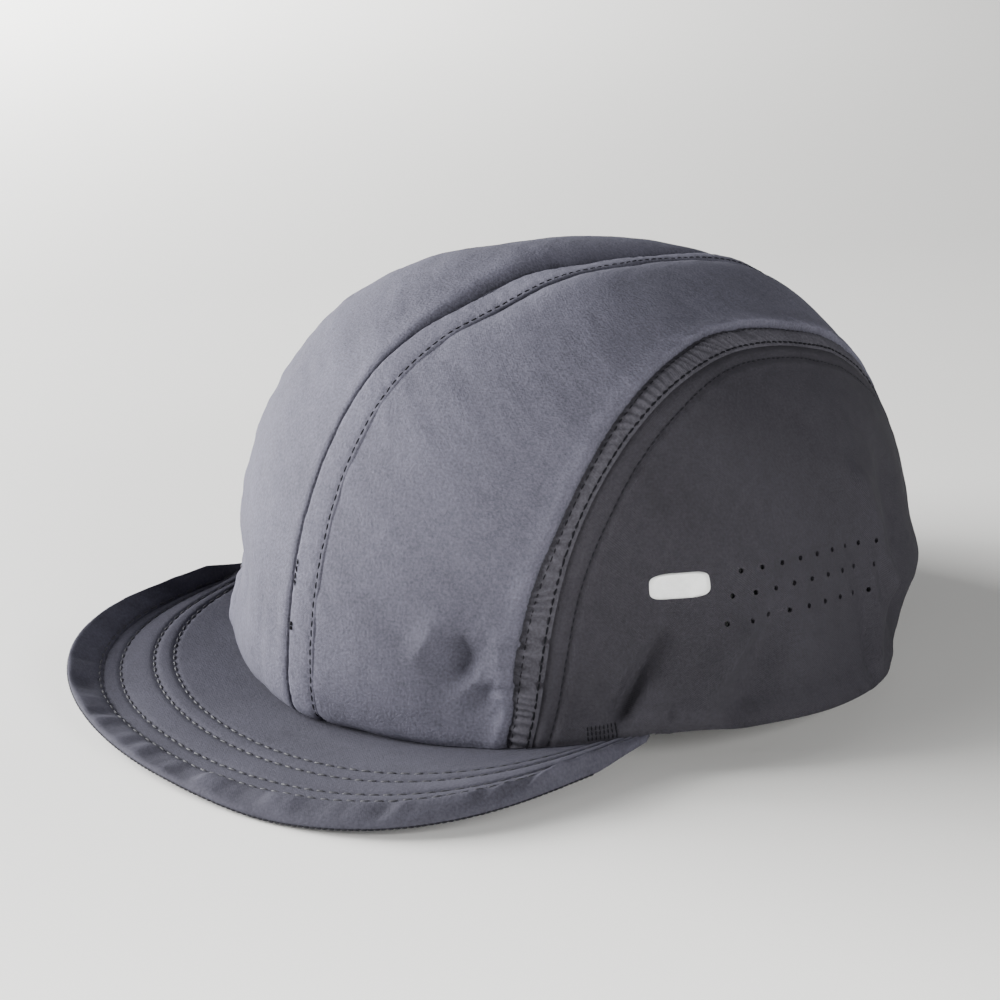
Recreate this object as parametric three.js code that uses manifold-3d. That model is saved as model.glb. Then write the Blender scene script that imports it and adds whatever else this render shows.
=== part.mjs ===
// Soft running cap, unworn and resting on a flat surface.
// Millimetres, +Z up. The brim points to -Y and +X is the wearer's left.
// Angles run round the crown from the front (0) over the wearer's left (90) to the rear (180).

import * as THREE from 'three';
import { mergeVertices } from 'three/addons/utils/BufferGeometryUtils.js';
import Module from 'manifold-3d';

const wasm = await Module();
wasm.setup();

// Driving dimensions

const CLOTH = 1.5;
const SEAM_GAP = 0.3;

// Oval that the hem draws in plan, the oval that the wall goes over to above it, and the height
// that it takes to do so
const HEM = { side: 93.0, front: 85.0, rear: 84.0, power: 1.9 };
const BODY = { side: 84.4, front: 90.2, rear: 104.1, power: 1.85 };
const SPRING = { front: 5.0, side: 13.0, rear: 6.5 };

const CROWN_HEIGHT = 105.0;
const APEX_Y = -3.75;
const MEAN_RADIUS = 88.0;

// How the wall rises and closes over: powers of a rounded profile, and its bulge half way up
const PROFILE = {
  front: { rise: 2.9, close: 1.78, bulge: -0.03 },
  side: { rise: 3.0, close: 2.1, bulge: -0.01 },
  rear: { rise: 2.1, close: 2.9, bulge: 0.05 },
};

// Top face of the soft peak: height at the front of the hem, then its fall, arch and dish
const PEAK = { height: 2.3, fall: -0.5, arch: 4.0, archFall: -0.5, dish: 0.75 };
const PEAK_ARCH_WIDTH = 60.0;
const PEAK_REACH = 50.0;
const BRIM = { tip: 131.7, cornerX: 77.7, cornerY: 41.3, fullness: 0.49 };
const BRIM_CLOTH = 2.0;
const BRIM_TONGUE = 5.0;

// Rolled edge: how far in it starts, how much it swells and which share of that goes upward,
// how it droops, and how it leans down on the wearer's left and up on the right
const RIM = { width: 8.9, round: 1.5, swell: 1.1, upward: 0.85, droop: -0.6, lean: -1.5 };

// Height that the hem keeps above the surface between the brim and the rear, where it lies flat
const HEM_ARCH = 0.6;
const HEM_FLAT_FROM_DEG = 158;

// Seams of the arched side panel in plan: how far each lies from the middle of the cap.
// seam is the edge of the top panel, stitch the inner edge of the felled strip.
const ARCH_SEAMS = [
  { y: -112, seam: 50.0, stitch: 54.0 },
  { y: -68, seam: 54.5, stitch: 58.8 },
  { y: -52, seam: 57.2, stitch: 60.2 },
  { y: -34, seam: 56.0, stitch: 59.9 },
  { y: -10, seam: 52.0, stitch: 57.1 },
  { y: 5, seam: 49.0, stitch: 54.6 },
  { y: 35, seam: 46.0, stitch: 50.8 },
  { y: 58, seam: 40.3, stitch: 45.0 },
  { y: 82, seam: 35.5, stitch: 39.8 },
  { y: 135, seam: 31.0, stitch: 35.0 },
];
const CENTRE_STRIP_WIDTH = 9.0;

// Punched air holes in the rear of each side panel: rows at a share of the rise to the apex
const HOLE_DIAMETER = 1.5;
const HOLE_PITCH_DEG = 4.4;
const HOLE_ROWS = [
  { name: 'top', share: 0.145, firstDeg: 79.6, count: 9 },
  { name: 'middle', share: 0.112, firstDeg: 77.4, count: 9 },
  { name: 'bottom', share: 0.079, firstDeg: 75.6, count: 9 },
];

// Dents and folds that the cloth keeps as it lies. Each runs between two places, given as
// degrees round the crown and millimetres above the hem. Depth is outward where positive.
const FOLDS = [
  { name: 'front pinch', from: [-60, 20], to: [-24, 21], halfWidth: 10.0, depth: -2.6 },
  { name: 'front dent', from: [29, 26], to: [28.5, 16], halfWidth: 5.0, depth: -2.4 },
  { name: 'front low dent', from: [33, 18], to: [36, 12], halfWidth: 4.5, depth: -1.8 },
  { name: 'front ridge', from: [35.5, 26], to: [34.5, 18], halfWidth: 4.0, depth: 1.3 },
  { name: 'ear valley', from: [64, 24], to: [58, 6], halfWidth: 4.0, depth: -2.2 },
  { name: 'ear ridge', from: [69, 22], to: [63.5, 6], halfWidth: 4.5, depth: 1.8 },
  { name: 'side valley', from: [79, 22], to: [69.5, 4], halfWidth: 4.0, depth: -2.2 },
  { name: 'side ridge', from: [86, 20], to: [77, 5], halfWidth: 5.0, depth: 1.3 },
  { name: 'rear crease', from: [116, 48], to: [118, 24], halfWidth: 5.0, depth: 2.4 },
  { name: 'rear crease foot', from: [118, 24], to: [110, 8], halfWidth: 5.0, depth: 2.2 },
  { name: 'rear hollow', from: [130, 44], to: [127, 14], halfWidth: 8.0, depth: -3.0 },
  { name: 'rear corner', from: [142, 20], to: [146, 10], halfWidth: 9.0, depth: 3.0 },
  { name: 'right ear valley', from: [-66, 24], to: [-60, 6], halfWidth: 4.5, depth: -1.8 },
  { name: 'right ear ridge', from: [-72, 20], to: [-68, 6], halfWidth: 5.0, depth: 1.5 },
  { name: 'right side valley', from: [-98, 26], to: [-92, 6], halfWidth: 5.0, depth: -2.0 },
  { name: 'right rear crease', from: [-120, 44], to: [-116, 10], halfWidth: 6.0, depth: 2.2 },
  { name: 'right rear hollow', from: [-134, 42], to: [-131, 12], halfWidth: 9.0, depth: -2.6 },
];

// Folds fade out over this height above the hem, and the cloth's edges turn level over this one
const FOLD_SETTLE_HEIGHT = 5.0;
const EDGE_LEVEL_HEIGHT = 8.0;

// Soft scallops where the elastic draws the rear of the hem in
const GATHER = { count: 24, depth: 1.3, spreadDeg: 48, rise: 20 };

// Plain reflective bar on the wearer's left side panel
const BAR = { centreDeg: 68.2, halfDeg: 5.3, lowShare: 0.117, highShare: 0.154, thickness: 0.5 };

const COLUMNS = 72;
const ROWS = 14;
const ROW_CROWDING = 1.7;
const BRIM_STATIONS = 36;
const SHORTEST_EDGE = 0.15;

const SLATE = { color: 0x5d5d68, roughness: 0.85, metalness: 0.0 };
const SLATE_DARK = { color: 0x4b4b54, roughness: 0.85, metalness: 0.0 };
const REFLECTIVE = { color: 0xd9dbdc, roughness: 0.45, metalness: 0.1 };

const radians = THREE.MathUtils.degToRad;
const clamp = THREE.MathUtils.clamp;

// The surface that the cloth follows

function ovalRadius(angle, oval) {
  const forward = Math.cos(angle);
  const reach = forward > 0 ? oval.front : oval.rear;
  const across = Math.abs(Math.sin(angle) / oval.side) ** oval.power;
  const along = Math.abs(forward / reach) ** oval.power;
  return (across + along) ** (-1 / oval.power);
}

// A value that goes from its front or rear size to its side size round the crown
function roundCrown(angle, front, side, rear) {
  const forward = Math.cos(angle);
  const end = forward > 0 ? front : rear;
  return end * forward ** 2 + side * (1 - forward ** 2);
}

function profileAt(angle, key) {
  return roundCrown(angle, PROFILE.front[key], PROFILE.side[key], PROFILE.rear[key]);
}

function peakHeight(x, y) {
  const across = (x / PEAK_ARCH_WIDTH) ** 2;
  const ahead = (-y - HEM.front) / PEAK_REACH;
  return PEAK.height + PEAK.fall * ahead + PEAK.arch * across
    + PEAK.archFall * across * ahead + PEAK.dish * ahead ** 2;
}

const CORNER_ANGLE = Math.atan2(BRIM.cornerX, BRIM.cornerY);

function hemHeight(angle, x, y) {
  const turned = Math.abs(angle);
  if (turned < CORNER_ANGLE) {
    return peakHeight(x, y) + SEAM_GAP;
  }
  const share = Math.min(1, (turned - CORNER_ANGLE) / (radians(HEM_FLAT_FROM_DEG) - CORNER_ANGLE));
  const corner = peakHeight(BRIM.cornerX, -BRIM.cornerY) + SEAM_GAP;
  const fall = 0.5 + 0.5 * Math.cos(Math.PI * share);
  return corner * fall + HEM_ARCH * Math.sin(Math.PI * share) ** 2;
}

function baseSurface(angle, share) {
  const hemRadius = ovalRadius(angle, HEM);
  const bodyRadius = ovalRadius(angle, BODY);
  const hemZ = hemHeight(angle, hemRadius * Math.sin(angle), -hemRadius * Math.cos(angle));
  const turn = share * Math.PI / 2;
  const rise = Math.sin(turn) ** (2 / profileAt(angle, 'rise'));
  const bulge = 1 + profileAt(angle, 'bulge') * Math.sin(Math.PI * rise);
  const close = Math.cos(turn) ** (2 / profileAt(angle, 'close')) * bulge;
  const height = (CROWN_HEIGHT - hemZ) * rise;
  const spring = roundCrown(angle, SPRING.front, SPRING.side, SPRING.rear);
  const flare = (hemRadius - bodyRadius) * Math.exp(-height / spring) * (1 - rise);
  const radius = bodyRadius * close + flare;
  const place = new THREE.Vector3(
    radius * Math.sin(angle),
    -radius * Math.cos(angle) + APEX_Y * rise,
    hemZ + height,
  );
  return { place, height };
}

function foldDepth(angle, height) {
  let depth = 0;
  for (const fold of FOLDS) {
    const start = new THREE.Vector2(MEAN_RADIUS * radians(fold.from[0]), fold.from[1]);
    const end = new THREE.Vector2(MEAN_RADIUS * radians(fold.to[0]), fold.to[1]);
    const here = new THREE.Vector2(MEAN_RADIUS * angle, height);
    const run = end.clone().sub(start);
    const share = clamp(here.clone().sub(start).dot(run) / run.lengthSq(), 0, 1);
    const distance = here.distanceTo(start.addScaledVector(run, share));
    depth += fold.depth * Math.exp(-((distance / fold.halfWidth) ** 2));
  }
  const fromRear = Math.PI - Math.abs(angle);
  const gathered = Math.exp(-((fromRear / radians(GATHER.spreadDeg)) ** 4));
  const fade = Math.exp(-height / GATHER.rise);
  return depth + GATHER.depth * gathered * fade * Math.cos(GATHER.count * angle);
}

function surfaceNormal(angle, share) {
  const step = 0.004;
  const low = Math.max(share - step, 0);
  const high = Math.min(share + step, 0.995);
  const around = baseSurface(angle + step, Math.min(share, high)).place
    .sub(baseSurface(angle - step, Math.min(share, high)).place);
  const upward = baseSurface(angle, high).place.sub(baseSurface(angle, low).place);
  return around.cross(upward).normalize();
}

// A point of the cloth, a given distance out from the drawn surface
function clothPoint(angle, share, out) {
  const { place, height } = baseSurface(angle, share);
  const normal = surfaceNormal(angle, share);
  normal.z *= Math.min(1, height / EDGE_LEVEL_HEIGHT);
  normal.normalize();
  const outward = new THREE.Vector3(Math.sin(angle), -Math.cos(angle), 0);
  const settle = Math.min(1, height / FOLD_SETTLE_HEIGHT);
  return place.addScaledVector(outward, foldDepth(angle, height) * settle).addScaledVector(normal, out);
}

// Closed meshes from rings of points

// Faces of the tube wall that joins equal rings of points
function tubeFaces(ringCount, pointCount) {
  const index = [];
  for (let ring = 0; ring < ringCount - 1; ring += 1) {
    for (let side = 0; side < pointCount; side += 1) {
      const across = (side + 1) % pointCount;
      const a = ring * pointCount + side;
      const b = ring * pointCount + across;
      const c = b + pointCount;
      const d = a + pointCount;
      index.push(a, b, c, a, c, d);
    }
  }
  return index;
}

function meshOf(points, index) {
  const positions = points.flatMap((point) => [point.x, point.y, point.z]);
  const geometry = new THREE.BufferGeometry();
  geometry.setAttribute('position', new THREE.Float32BufferAttribute(positions, 3));
  geometry.setIndex(index);
  return geometry;
}

// A tube through equal rings of points, with a flat face over each end
function loftSolid(rings) {
  const count = rings[0].length;
  const index = tubeFaces(rings.length, count);
  const end = (rings.length - 1) * count;
  for (let side = 1; side < count - 1; side += 1) {
    index.push(0, side + 1, side);
    index.push(end, end + side, end + side + 1);
  }
  return toSolid(meshOf(rings.flat(), index));
}

function toSolid(geometry) {
  const bare = geometry.clone();
  bare.deleteAttribute('normal');
  bare.deleteAttribute('uv');
  const merged = mergeVertices(bare, 1e-4);
  return new wasm.Manifold(new wasm.Mesh({
    numProp: 3,
    vertProperties: new Float32Array(merged.attributes.position.array),
    triVerts: new Uint32Array(merged.index.array),
  }));
}

// Joins the ends of edges shorter than SHORTEST_EDGE, which the cuts leave along a seam
function joinShortEdges(positions, index) {
  const owner = Array.from({ length: positions.length / 3 }, (_, vertex) => vertex);
  const find = (vertex) => {
    let root = vertex;
    while (owner[root] !== root) {
      root = owner[root];
    }
    return root;
  };
  const place = (vertex) => new THREE.Vector3().fromArray(positions, 3 * vertex);
  for (let corner = 0; corner < index.length; corner += 1) {
    const next = corner % 3 === 2 ? corner - 2 : corner + 1;
    const a = find(index[corner]);
    const b = find(index[next]);
    if (a !== b && place(a).distanceTo(place(b)) < SHORTEST_EDGE) {
      owner[b] = a;
    }
  }
  const kept = new Map();
  for (let face = 0; face < index.length; face += 3) {
    const corners = [find(index[face]), find(index[face + 1]), find(index[face + 2])];
    const key = corners.slice().sort((a, b) => a - b).join(' ');
    if (new Set(corners).size === 3 && !kept.delete(key)) {
      kept.set(key, corners);
    }
  }
  return [...kept.values()].flat();
}

function toGeometry(solid) {
  const mesh = solid.getMesh();
  const geometry = new THREE.BufferGeometry();
  geometry.setAttribute('position', new THREE.Float32BufferAttribute(mesh.vertProperties, 3));
  geometry.setIndex(joinShortEdges(mesh.vertProperties, mesh.triVerts));
  const flat = geometry.toNonIndexed();
  flat.computeVertexNormals();
  return flat;
}

// The whole crown as one shell, before the seams divide it
function crownShell() {
  const outer = [];
  const inner = [];
  for (let row = 0; row < ROWS; row += 1) {
    const share = (row / ROWS) ** ROW_CROWDING;
    const outerRing = [];
    const innerRing = [];
    for (let column = 0; column < COLUMNS; column += 1) {
      const angle = (column / COLUMNS) * 2 * Math.PI - Math.PI;
      outerRing.push(clothPoint(angle, share, 0));
      innerRing.push(clothPoint(angle, share, -CLOTH));
    }
    outer.push(outerRing);
    inner.push(innerRing);
  }
  const rings = [...inner.reverse(), ...outer];
  const innerApex = rings.length * COLUMNS;
  const outerApex = innerApex + 1;
  const lastRing = (rings.length - 1) * COLUMNS;
  const apex = new THREE.Vector3(0, APEX_Y, CROWN_HEIGHT);
  const points = [...rings.flat(), apex.clone().setZ(CROWN_HEIGHT - CLOTH), apex];
  const index = tubeFaces(rings.length, COLUMNS);
  for (let column = 0; column < COLUMNS; column += 1) {
    const next = (column + 1) % COLUMNS;
    index.push(innerApex, next, column);
    index.push(outerApex, lastRing + column, lastRing + next);
  }
  return toSolid(meshOf(points, index));
}

// An upright block whose two long sides follow lines of the plan, given as x for each y
function planBlock(nearLine, farLine) {
  const outline = new THREE.Shape([...nearLine, ...farLine.slice().reverse()]);
  const geometry = new THREE.ExtrudeGeometry(outline, { depth: 2 * CROWN_HEIGHT, bevelEnabled: false });
  geometry.translate(0, 0, -CROWN_HEIGHT / 2);
  return toSolid(geometry);
}

const FIRST_Y = ARCH_SEAMS[0].y;
const LAST_Y = ARCH_SEAMS[ARCH_SEAMS.length - 1].y;

function straightLine(x) {
  return [new THREE.Vector2(x, FIRST_Y), new THREE.Vector2(x, LAST_Y)];
}

function archLine(column, side, clear) {
  const points = ARCH_SEAMS.map((row) => new THREE.Vector2(side * (row[column] + clear), row.y));
  return new THREE.SplineCurve(points).getPoints(22);
}

// Punched holes: six-sided pins that stand through the cloth
function punchPins(side) {
  const pins = [];
  for (const row of HOLE_ROWS) {
    for (let hole = 0; hole < row.count; hole += 1) {
      const angle = side * radians(row.firstDeg + hole * HOLE_PITCH_DEG);
      const place = clothPoint(angle, row.share, -CLOTH / 2);
      const normal = surfaceNormal(angle, row.share);
      const pin = new THREE.CylinderGeometry(HOLE_DIAMETER / 2, HOLE_DIAMETER / 2, 4 * CLOTH, 6);
      const turn = new THREE.Quaternion().setFromUnitVectors(new THREE.Vector3(0, 1, 0), normal);
      pin.applyQuaternion(turn);
      pin.translate(place.x, place.y, place.z);
      pins.push(toSolid(pin));
    }
  }
  return pins;
}

// A small raised patch that lies on the cloth with rounded ends
function raisedBar() {
  const stations = 12;
  const rings = [];
  for (let step = 0; step <= stations; step += 1) {
    const along = (step / stations) * 2 - 1;
    const angle = radians(BAR.centreDeg + along * BAR.halfDeg);
    const roundness = Math.sqrt(1 - Math.min(0.9, Math.abs(along) ** 8));
    const middle = (BAR.lowShare + BAR.highShare) / 2;
    const half = (BAR.highShare - BAR.lowShare) / 2 * roundness;
    const ring = [];
    for (const share of [middle - half, middle, middle + half]) {
      ring.push(clothPoint(angle, share, SEAM_GAP));
    }
    for (const share of [middle + half, middle, middle - half]) {
      ring.push(clothPoint(angle, share, SEAM_GAP + BAR.thickness));
    }
    rings.push(ring);
  }
  return loftSolid(rings);
}

// The peak: one soft two-ply piece with a rolled edge, and a tongue that runs in under the hem

function brimEdge(turn) {
  const forward = Math.cos(turn);
  const reach = BRIM.tip - BRIM.cornerY;
  return new THREE.Vector2(
    BRIM.cornerX * Math.sin(turn),
    -BRIM.cornerY - reach * Math.max(forward, 0) ** BRIM.fullness,
  );
}

function brimRoot(turn) {
  const angle = turn * CORNER_ANGLE / (Math.PI / 2);
  const radius = ovalRadius(angle, HEM) - BRIM_TONGUE;
  return new THREE.Vector2(radius * Math.sin(angle), -radius * Math.cos(angle));
}

// Rows of the brim's section: how far from the edge, as a length and as a share of the width
const BRIM_ROWS = [
  { inset: 99, share: 1.0 },
  { inset: 30, share: 0.72 },
  { inset: 20, share: 0.5 },
  { inset: 12, share: 0.36 },
  { inset: 8, share: 0.26 },
  { inset: 5, share: 0.18 },
  { inset: 2.5, share: 0.1 },
  { inset: 0.7, share: 0.03 },
];

function brimSection(turn) {
  const edge = brimEdge(turn);
  const root = brimRoot(turn);
  const width = edge.distanceTo(root);
  const top = [];
  const bottom = [];
  for (const row of BRIM_ROWS) {
    const inset = Math.min(row.inset, row.share * width);
    const place = edge.clone().lerp(root, inset / width);
    const nearEdge = clamp(1 - inset / RIM.width, 0, 1);
    const clearOfHem = place.length() - ovalRadius(Math.atan2(place.x, -place.y), HEM);
    const free = clamp(clearOfHem / RIM.width, 0, 1);
    const droop = (RIM.droop + RIM.lean * place.x / PEAK_ARCH_WIDTH) * nearEdge ** 2 * free;
    const swell = RIM.swell * Math.sin(Math.PI * Math.sqrt(nearEdge)) * free;
    const tuck = 0.35 * BRIM_CLOTH * clamp(1 - inset / RIM.round, 0, 1);
    const height = peakHeight(place.x, place.y) + droop;
    const topHeight = height + RIM.upward * swell - tuck;
    const bottomHeight = height - BRIM_CLOTH - (1 - RIM.upward) * swell + tuck;
    top.push(new THREE.Vector3(place.x, place.y, topHeight));
    bottom.push(new THREE.Vector3(place.x, place.y, bottomHeight));
  }
  return [...top, ...bottom.reverse()];
}

function brimSolid() {
  const sections = [];
  for (let station = 0; station <= BRIM_STATIONS; station += 1) {
    const turn = (station / BRIM_STATIONS - 0.5) * Math.PI;
    sections.push(brimSection(turn));
  }
  return loftSolid(sections);
}

// The scene graph

const cap = new THREE.Group();

function addPart(name, solid, finish) {
  const mesh = new THREE.Mesh(toGeometry(solid), new THREE.MeshStandardMaterial(finish));
  mesh.name = name;
  cap.add(mesh);
}

const shell = crownShell();
const half = SEAM_GAP / 2;
const far = 2 * HEM.side;

for (const [word, side] of [['left', 1], ['right', -1]]) {
  const centre = side > 0 ? CENTRE_STRIP_WIDTH + half : half;
  const topBlock = planBlock(straightLine(side * centre), archLine('seam', side, -half));
  const stripBlock = planBlock(archLine('seam', side, half), archLine('stitch', side, -half));
  const sideBlock = planBlock(archLine('stitch', side, half), straightLine(side * far));
  let sidePanel = shell.intersect(sideBlock);
  for (const pin of punchPins(side)) {
    sidePanel = sidePanel.subtract(pin);
  }
  addPart(`crown_panel_${word}`, shell.intersect(topBlock), SLATE);
  addPart(`arch_seam_strip_${word}`, shell.intersect(stripBlock), SLATE_DARK);
  addPart(`side_panel_${word}`, sidePanel, SLATE_DARK);
}

const centreBlock = planBlock(straightLine(half), straightLine(CENTRE_STRIP_WIDTH - half));
addPart('centre_seam_strip', shell.intersect(centreBlock), SLATE);
addPart('brim', brimSolid(), SLATE);
addPart('reflective_bar', raisedBar(), REFLECTIVE);

// Set on the surface with the middle of its box over the origin
const box = new THREE.Box3().setFromObject(cap);
const middle = box.getCenter(new THREE.Vector3());
cap.position.set(-middle.x, -middle.y, -box.min.z);

export default cap;
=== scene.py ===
"""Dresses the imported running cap: sewn cloth panels, felled seams, a stitched soft peak and its threads.

Lengths inside the classes are in millimetres and become metres when a mesh is made. Angles run round
the crown from the front (0) over the wearer's left (90) to the rear (180). A share is how far a place
lies between the hem (0) and the top of the crown (1).
"""

from __future__ import annotations

import logging
import math
from dataclasses import dataclass, field, replace
from enum import Enum
from typing import Callable, Iterable, Sequence

import bmesh
import bpy
import numpy as np
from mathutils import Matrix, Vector
from mathutils.bvhtree import BVHTree


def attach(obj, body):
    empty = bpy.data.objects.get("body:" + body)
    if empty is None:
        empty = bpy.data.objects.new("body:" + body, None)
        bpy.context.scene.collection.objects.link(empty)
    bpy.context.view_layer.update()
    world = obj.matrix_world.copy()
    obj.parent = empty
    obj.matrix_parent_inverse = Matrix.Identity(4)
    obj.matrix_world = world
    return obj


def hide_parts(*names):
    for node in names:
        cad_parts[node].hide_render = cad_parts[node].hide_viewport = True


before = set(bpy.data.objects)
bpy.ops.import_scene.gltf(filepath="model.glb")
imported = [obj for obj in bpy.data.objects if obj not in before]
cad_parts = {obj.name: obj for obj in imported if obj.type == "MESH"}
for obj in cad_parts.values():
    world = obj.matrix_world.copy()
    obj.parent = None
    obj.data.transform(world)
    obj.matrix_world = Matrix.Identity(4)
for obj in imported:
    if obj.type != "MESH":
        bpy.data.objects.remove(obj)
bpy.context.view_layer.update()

LOG = logging.getLogger("cap")
MM = 0.001
GAP_PARTS = 40
FADED_SHARE = 0.15
STEP_ROUND = 0.01
STEP_UP = 0.004
Array = np.ndarray


# The form of the cap


@dataclass(frozen=True)
class Oval:
    """A rounded oval in plan with its own reach to the front and to the rear."""

    side: float
    front: float
    rear: float
    power: float

    def radius(self, angle: Array) -> Array:
        """Distance from the middle to the oval at each angle."""
        forward = np.cos(angle)
        reach = np.where(forward > 0, self.front, self.rear)
        across = np.abs(np.sin(angle) / self.side) ** self.power
        along = np.abs(forward / reach) ** self.power
        return (across + along) ** (-1 / self.power)


@dataclass(frozen=True)
class Round:
    """A value that changes round the crown from the front over the side to the rear."""

    front: float
    side: float
    rear: float

    def at(self, angle: Array) -> Array:
        """The value at each angle."""
        forward = np.cos(angle)
        end = np.where(forward > 0, self.front, self.rear)
        return end * forward**2 + self.side * (1 - forward**2)


def eased(value: Array | float) -> Array:
    """Runs smoothly from 0 to 1 while the value does."""
    held = np.clip(value, 0, 1)
    return held * held * (3 - 2 * held)


def ramp(value: Array, start: float, length: float) -> Array:
    """Runs smoothly from 0 to 1 over a length from a start."""
    return eased((value - start) / length)


def bell(value: Array, half_width: Array | float, middle: Array | float = 0.0) -> Array:
    """Rises smoothly to 1 at the middle and falls away on both sides of it."""
    return np.exp(-(((value - middle) / half_width) ** 2))


def domed(across: Array, width: Array) -> Array:
    """Half a wave over the width of a strip."""
    return np.sin(np.clip(across / width, 0, 1) * np.pi)


@dataclass(frozen=True)
class Fold:
    """A dent or ridge of the cloth between two places.

    Each place is degrees round the crown and millimetres above the hem. Depth is outward where
    positive. A crisp fold has steep flanks close to its line. Fades are the shares of its length over
    which it grows from its start and dies away at its end.
    """

    name: str
    start: tuple[float, float]
    end: tuple[float, float]
    half_width: float
    depth: float
    crisp: float = 2.0
    fades: tuple[float, float] = (0.0, 0.0)

    def depth_at(self, round_mm: Array, height: Array, mean_radius: float) -> Array:
        """How far the fold moves the cloth at each place.

        Args:
            round_mm: distance round the crown from the front.
            height: height above the hem.
            mean_radius: radius that turns degrees into distance.

        Returns:
            The outward move of each place.
        """
        x0, y0 = mean_radius * math.radians(self.start[0]), self.start[1]
        x1, y1 = mean_radius * math.radians(self.end[0]), self.end[1]
        run_x, run_y = x1 - x0, y1 - y0
        along = ((round_mm - x0) * run_x + (height - y0) * run_y) / (run_x**2 + run_y**2)
        share = np.clip(along, 0, 1)
        distance = np.hypot(round_mm - x0 - share * run_x, height - y0 - share * run_y)
        depth = self.depth * np.exp(-((distance / self.half_width) ** self.crisp))
        for fade, run in zip(self.fades, (share, 1 - share)):
            if fade > 0:
                depth = depth * (FADED_SHARE + (1 - FADED_SHARE) * eased(run / fade))
        return depth


MAIN_FOLDS = (
    Fold("front pinch", (-60, 20), (-24, 21), 10.0, -2.6),
    Fold("front dent", (33.0, 28), (29.6, 15), 4.7, -3.8, 2.0, (0.5, 0.4)),
    Fold("front low dent", (33.6, 16), (37.0, 8.0), 3.8, -2.0, 2.0, (0.4, 0.5)),
    Fold("front dent foot", (38.0, 10.5), (37.4, 4.5), 2.6, -1.2, fades=(0.0, 0.6)),
    Fold("front ridge", (38.0, 31), (38.4, 12.5), 2.6, 1.5, fades=(0.4, 0.6)),
    Fold("front left ridge", (30.4, 36), (23.0, 18.5), 3.6, 0.8, fades=(0.3, 0.3)),
    Fold("ear valley", (67.5, 29), (57.4, 5.5), 4.0, -2.7, 1.5, (0.7, 0.0)),
    Fold("ear ridge", (71.0, 24), (62.0, 4), 3.4, 1.3, 1.8, (0.5, 0.0)),
    Fold("side crest", (82.8, 28), (67.8, 2), 4.4, 2.9, 1.3, (0.4, 0.0)),
    Fold("side shade", (89.5, 27), (75.6, 2), 4.2, -2.1, 2.0, (0.4, 0.0)),
    Fold("rear crease", (116, 48), (118, 24), 5.0, 2.4),
    Fold("rear crease foot", (118, 24), (110, 8), 5.0, 2.2),
    Fold("rear hollow", (130, 44), (127, 14), 8.0, -3.0),
    Fold("rear corner", (142, 20), (146, 10), 9.0, 3.0),
    Fold("right ear valley", (-66, 24), (-60, 6), 4.5, -1.8),
    Fold("right ear ridge", (-72, 20), (-68, 6), 5.0, 1.5),
    Fold("right side valley", (-98, 26), (-92, 6), 5.0, -2.0),
    Fold("right rear crease", (-120, 44), (-116, 10), 6.0, 2.2),
    Fold("right rear hollow", (-134, 42), (-131, 12), 9.0, -2.6),
)

DENT_DRAGS = tuple(
    Fold(f"dent drag {number}", start, end, half_width, depth, 1.8, (0.3, 0.3))
    for number, (start, end, half_width, depth) in enumerate((
        ((35.8, 31), (31.0, 20.5), 0.75, 0.45),
        ((37.0, 28), (32.6, 17.5), 0.7, -0.45),
        ((32.6, 29), (28.8, 19.5), 0.75, -0.45),
        ((30.6, 25), (27.2, 15.5), 0.7, 0.35),
        ((36.4, 21.5), (32.6, 13), 0.75, 0.5),
        ((38.6, 19), (34.8, 10.5), 0.7, -0.45),
        ((38.8, 14.5), (36.2, 8), 0.7, 0.4),
        ((28.0, 30), (24.6, 22), 0.8, 0.3),
        ((30.0, 36), (27.6, 30), 0.8, -0.3),
        ((36.6, 37), (34.4, 31), 0.8, -0.35),
    ))
)

FINE_FOLDS = DENT_DRAGS + (
    Fold("ear valley floor", (64.8, 22), (56.5, 3.5), 1.2, -1.2, 1.4, (0.8, 0.0)),
    Fold("ear lip", (62.0, 12), (58.9, 2.5), 1.9, 1.1, 1.8, (0.6, 0.0)),
    Fold("ear drag", (67.5, 42), (65.0, 30), 4.0, -0.5),
    Fold("hem pleat one", (64.8, 8), (63.9, 0), 1.0, -0.8, 1.6, (0.5, 0.0)),
    Fold("hem pleat two", (66.4, 8), (65.7, 0), 0.9, 0.5, 1.6, (0.5, 0.0)),
    Fold("tack shade", (49.4, 9), (52.6, 1), 2.6, -0.8, fades=(0.8, 0.0)),
    Fold("rear crest", (113.0, 37), (111.2, 13), 2.2, 1.6, 1.8, (0.4, 0.3)),
    Fold("rear crest foot", (108.8, 17), (106.4, 0), 1.9, -2.1, 1.6, (0.4, 0.0)),
    Fold("rear shade", (108.0, 36), (108.6, 18), 3.5, -0.6),
    Fold("rear drag", (126.0, 60), (136.0, 46), 5.0, -0.7),
    Fold("right ear floor", (-63.0, 26), (-58.0, 4), 2.0, -1.2, 1.6),
    Fold("right side floor", (-96.0, 28), (-89.0, 4), 2.2, -1.3, 1.6),
    Fold("right side lip", (-90.0, 22), (-84.0, 4), 3.0, 0.9, 1.7),
    Fold("right rear edge", (-118.0, 46), (-112.0, 8), 2.4, 1.2, 1.6),
)

FRONT_PRESSES = (
    Fold("dent heart", (31.6, 29), (30.4, 12), 4.2, -1.7, 2.0, (0.5, 0.6)),
    Fold("low dent heart", (32.6, 13.5), (37.2, 6.5), 2.4, -0.6, 2.0, (0.5, 0.5)),
)

SIDE_PRESSES = (
    Fold("ear valley heart", (66.0, 26), (57.6, 5), 3.0, -0.9, 1.8, (0.6, 0.0)),
    Fold("side crest heart", (82.4, 28), (69.0, 5), 3.4, 0.7, 1.8, (0.5, 0.4)),
    Fold("side shade heart", (87.2, 28), (74.4, 5), 3.6, -0.8, 1.8, (0.5, 0.4)),
)


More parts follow.
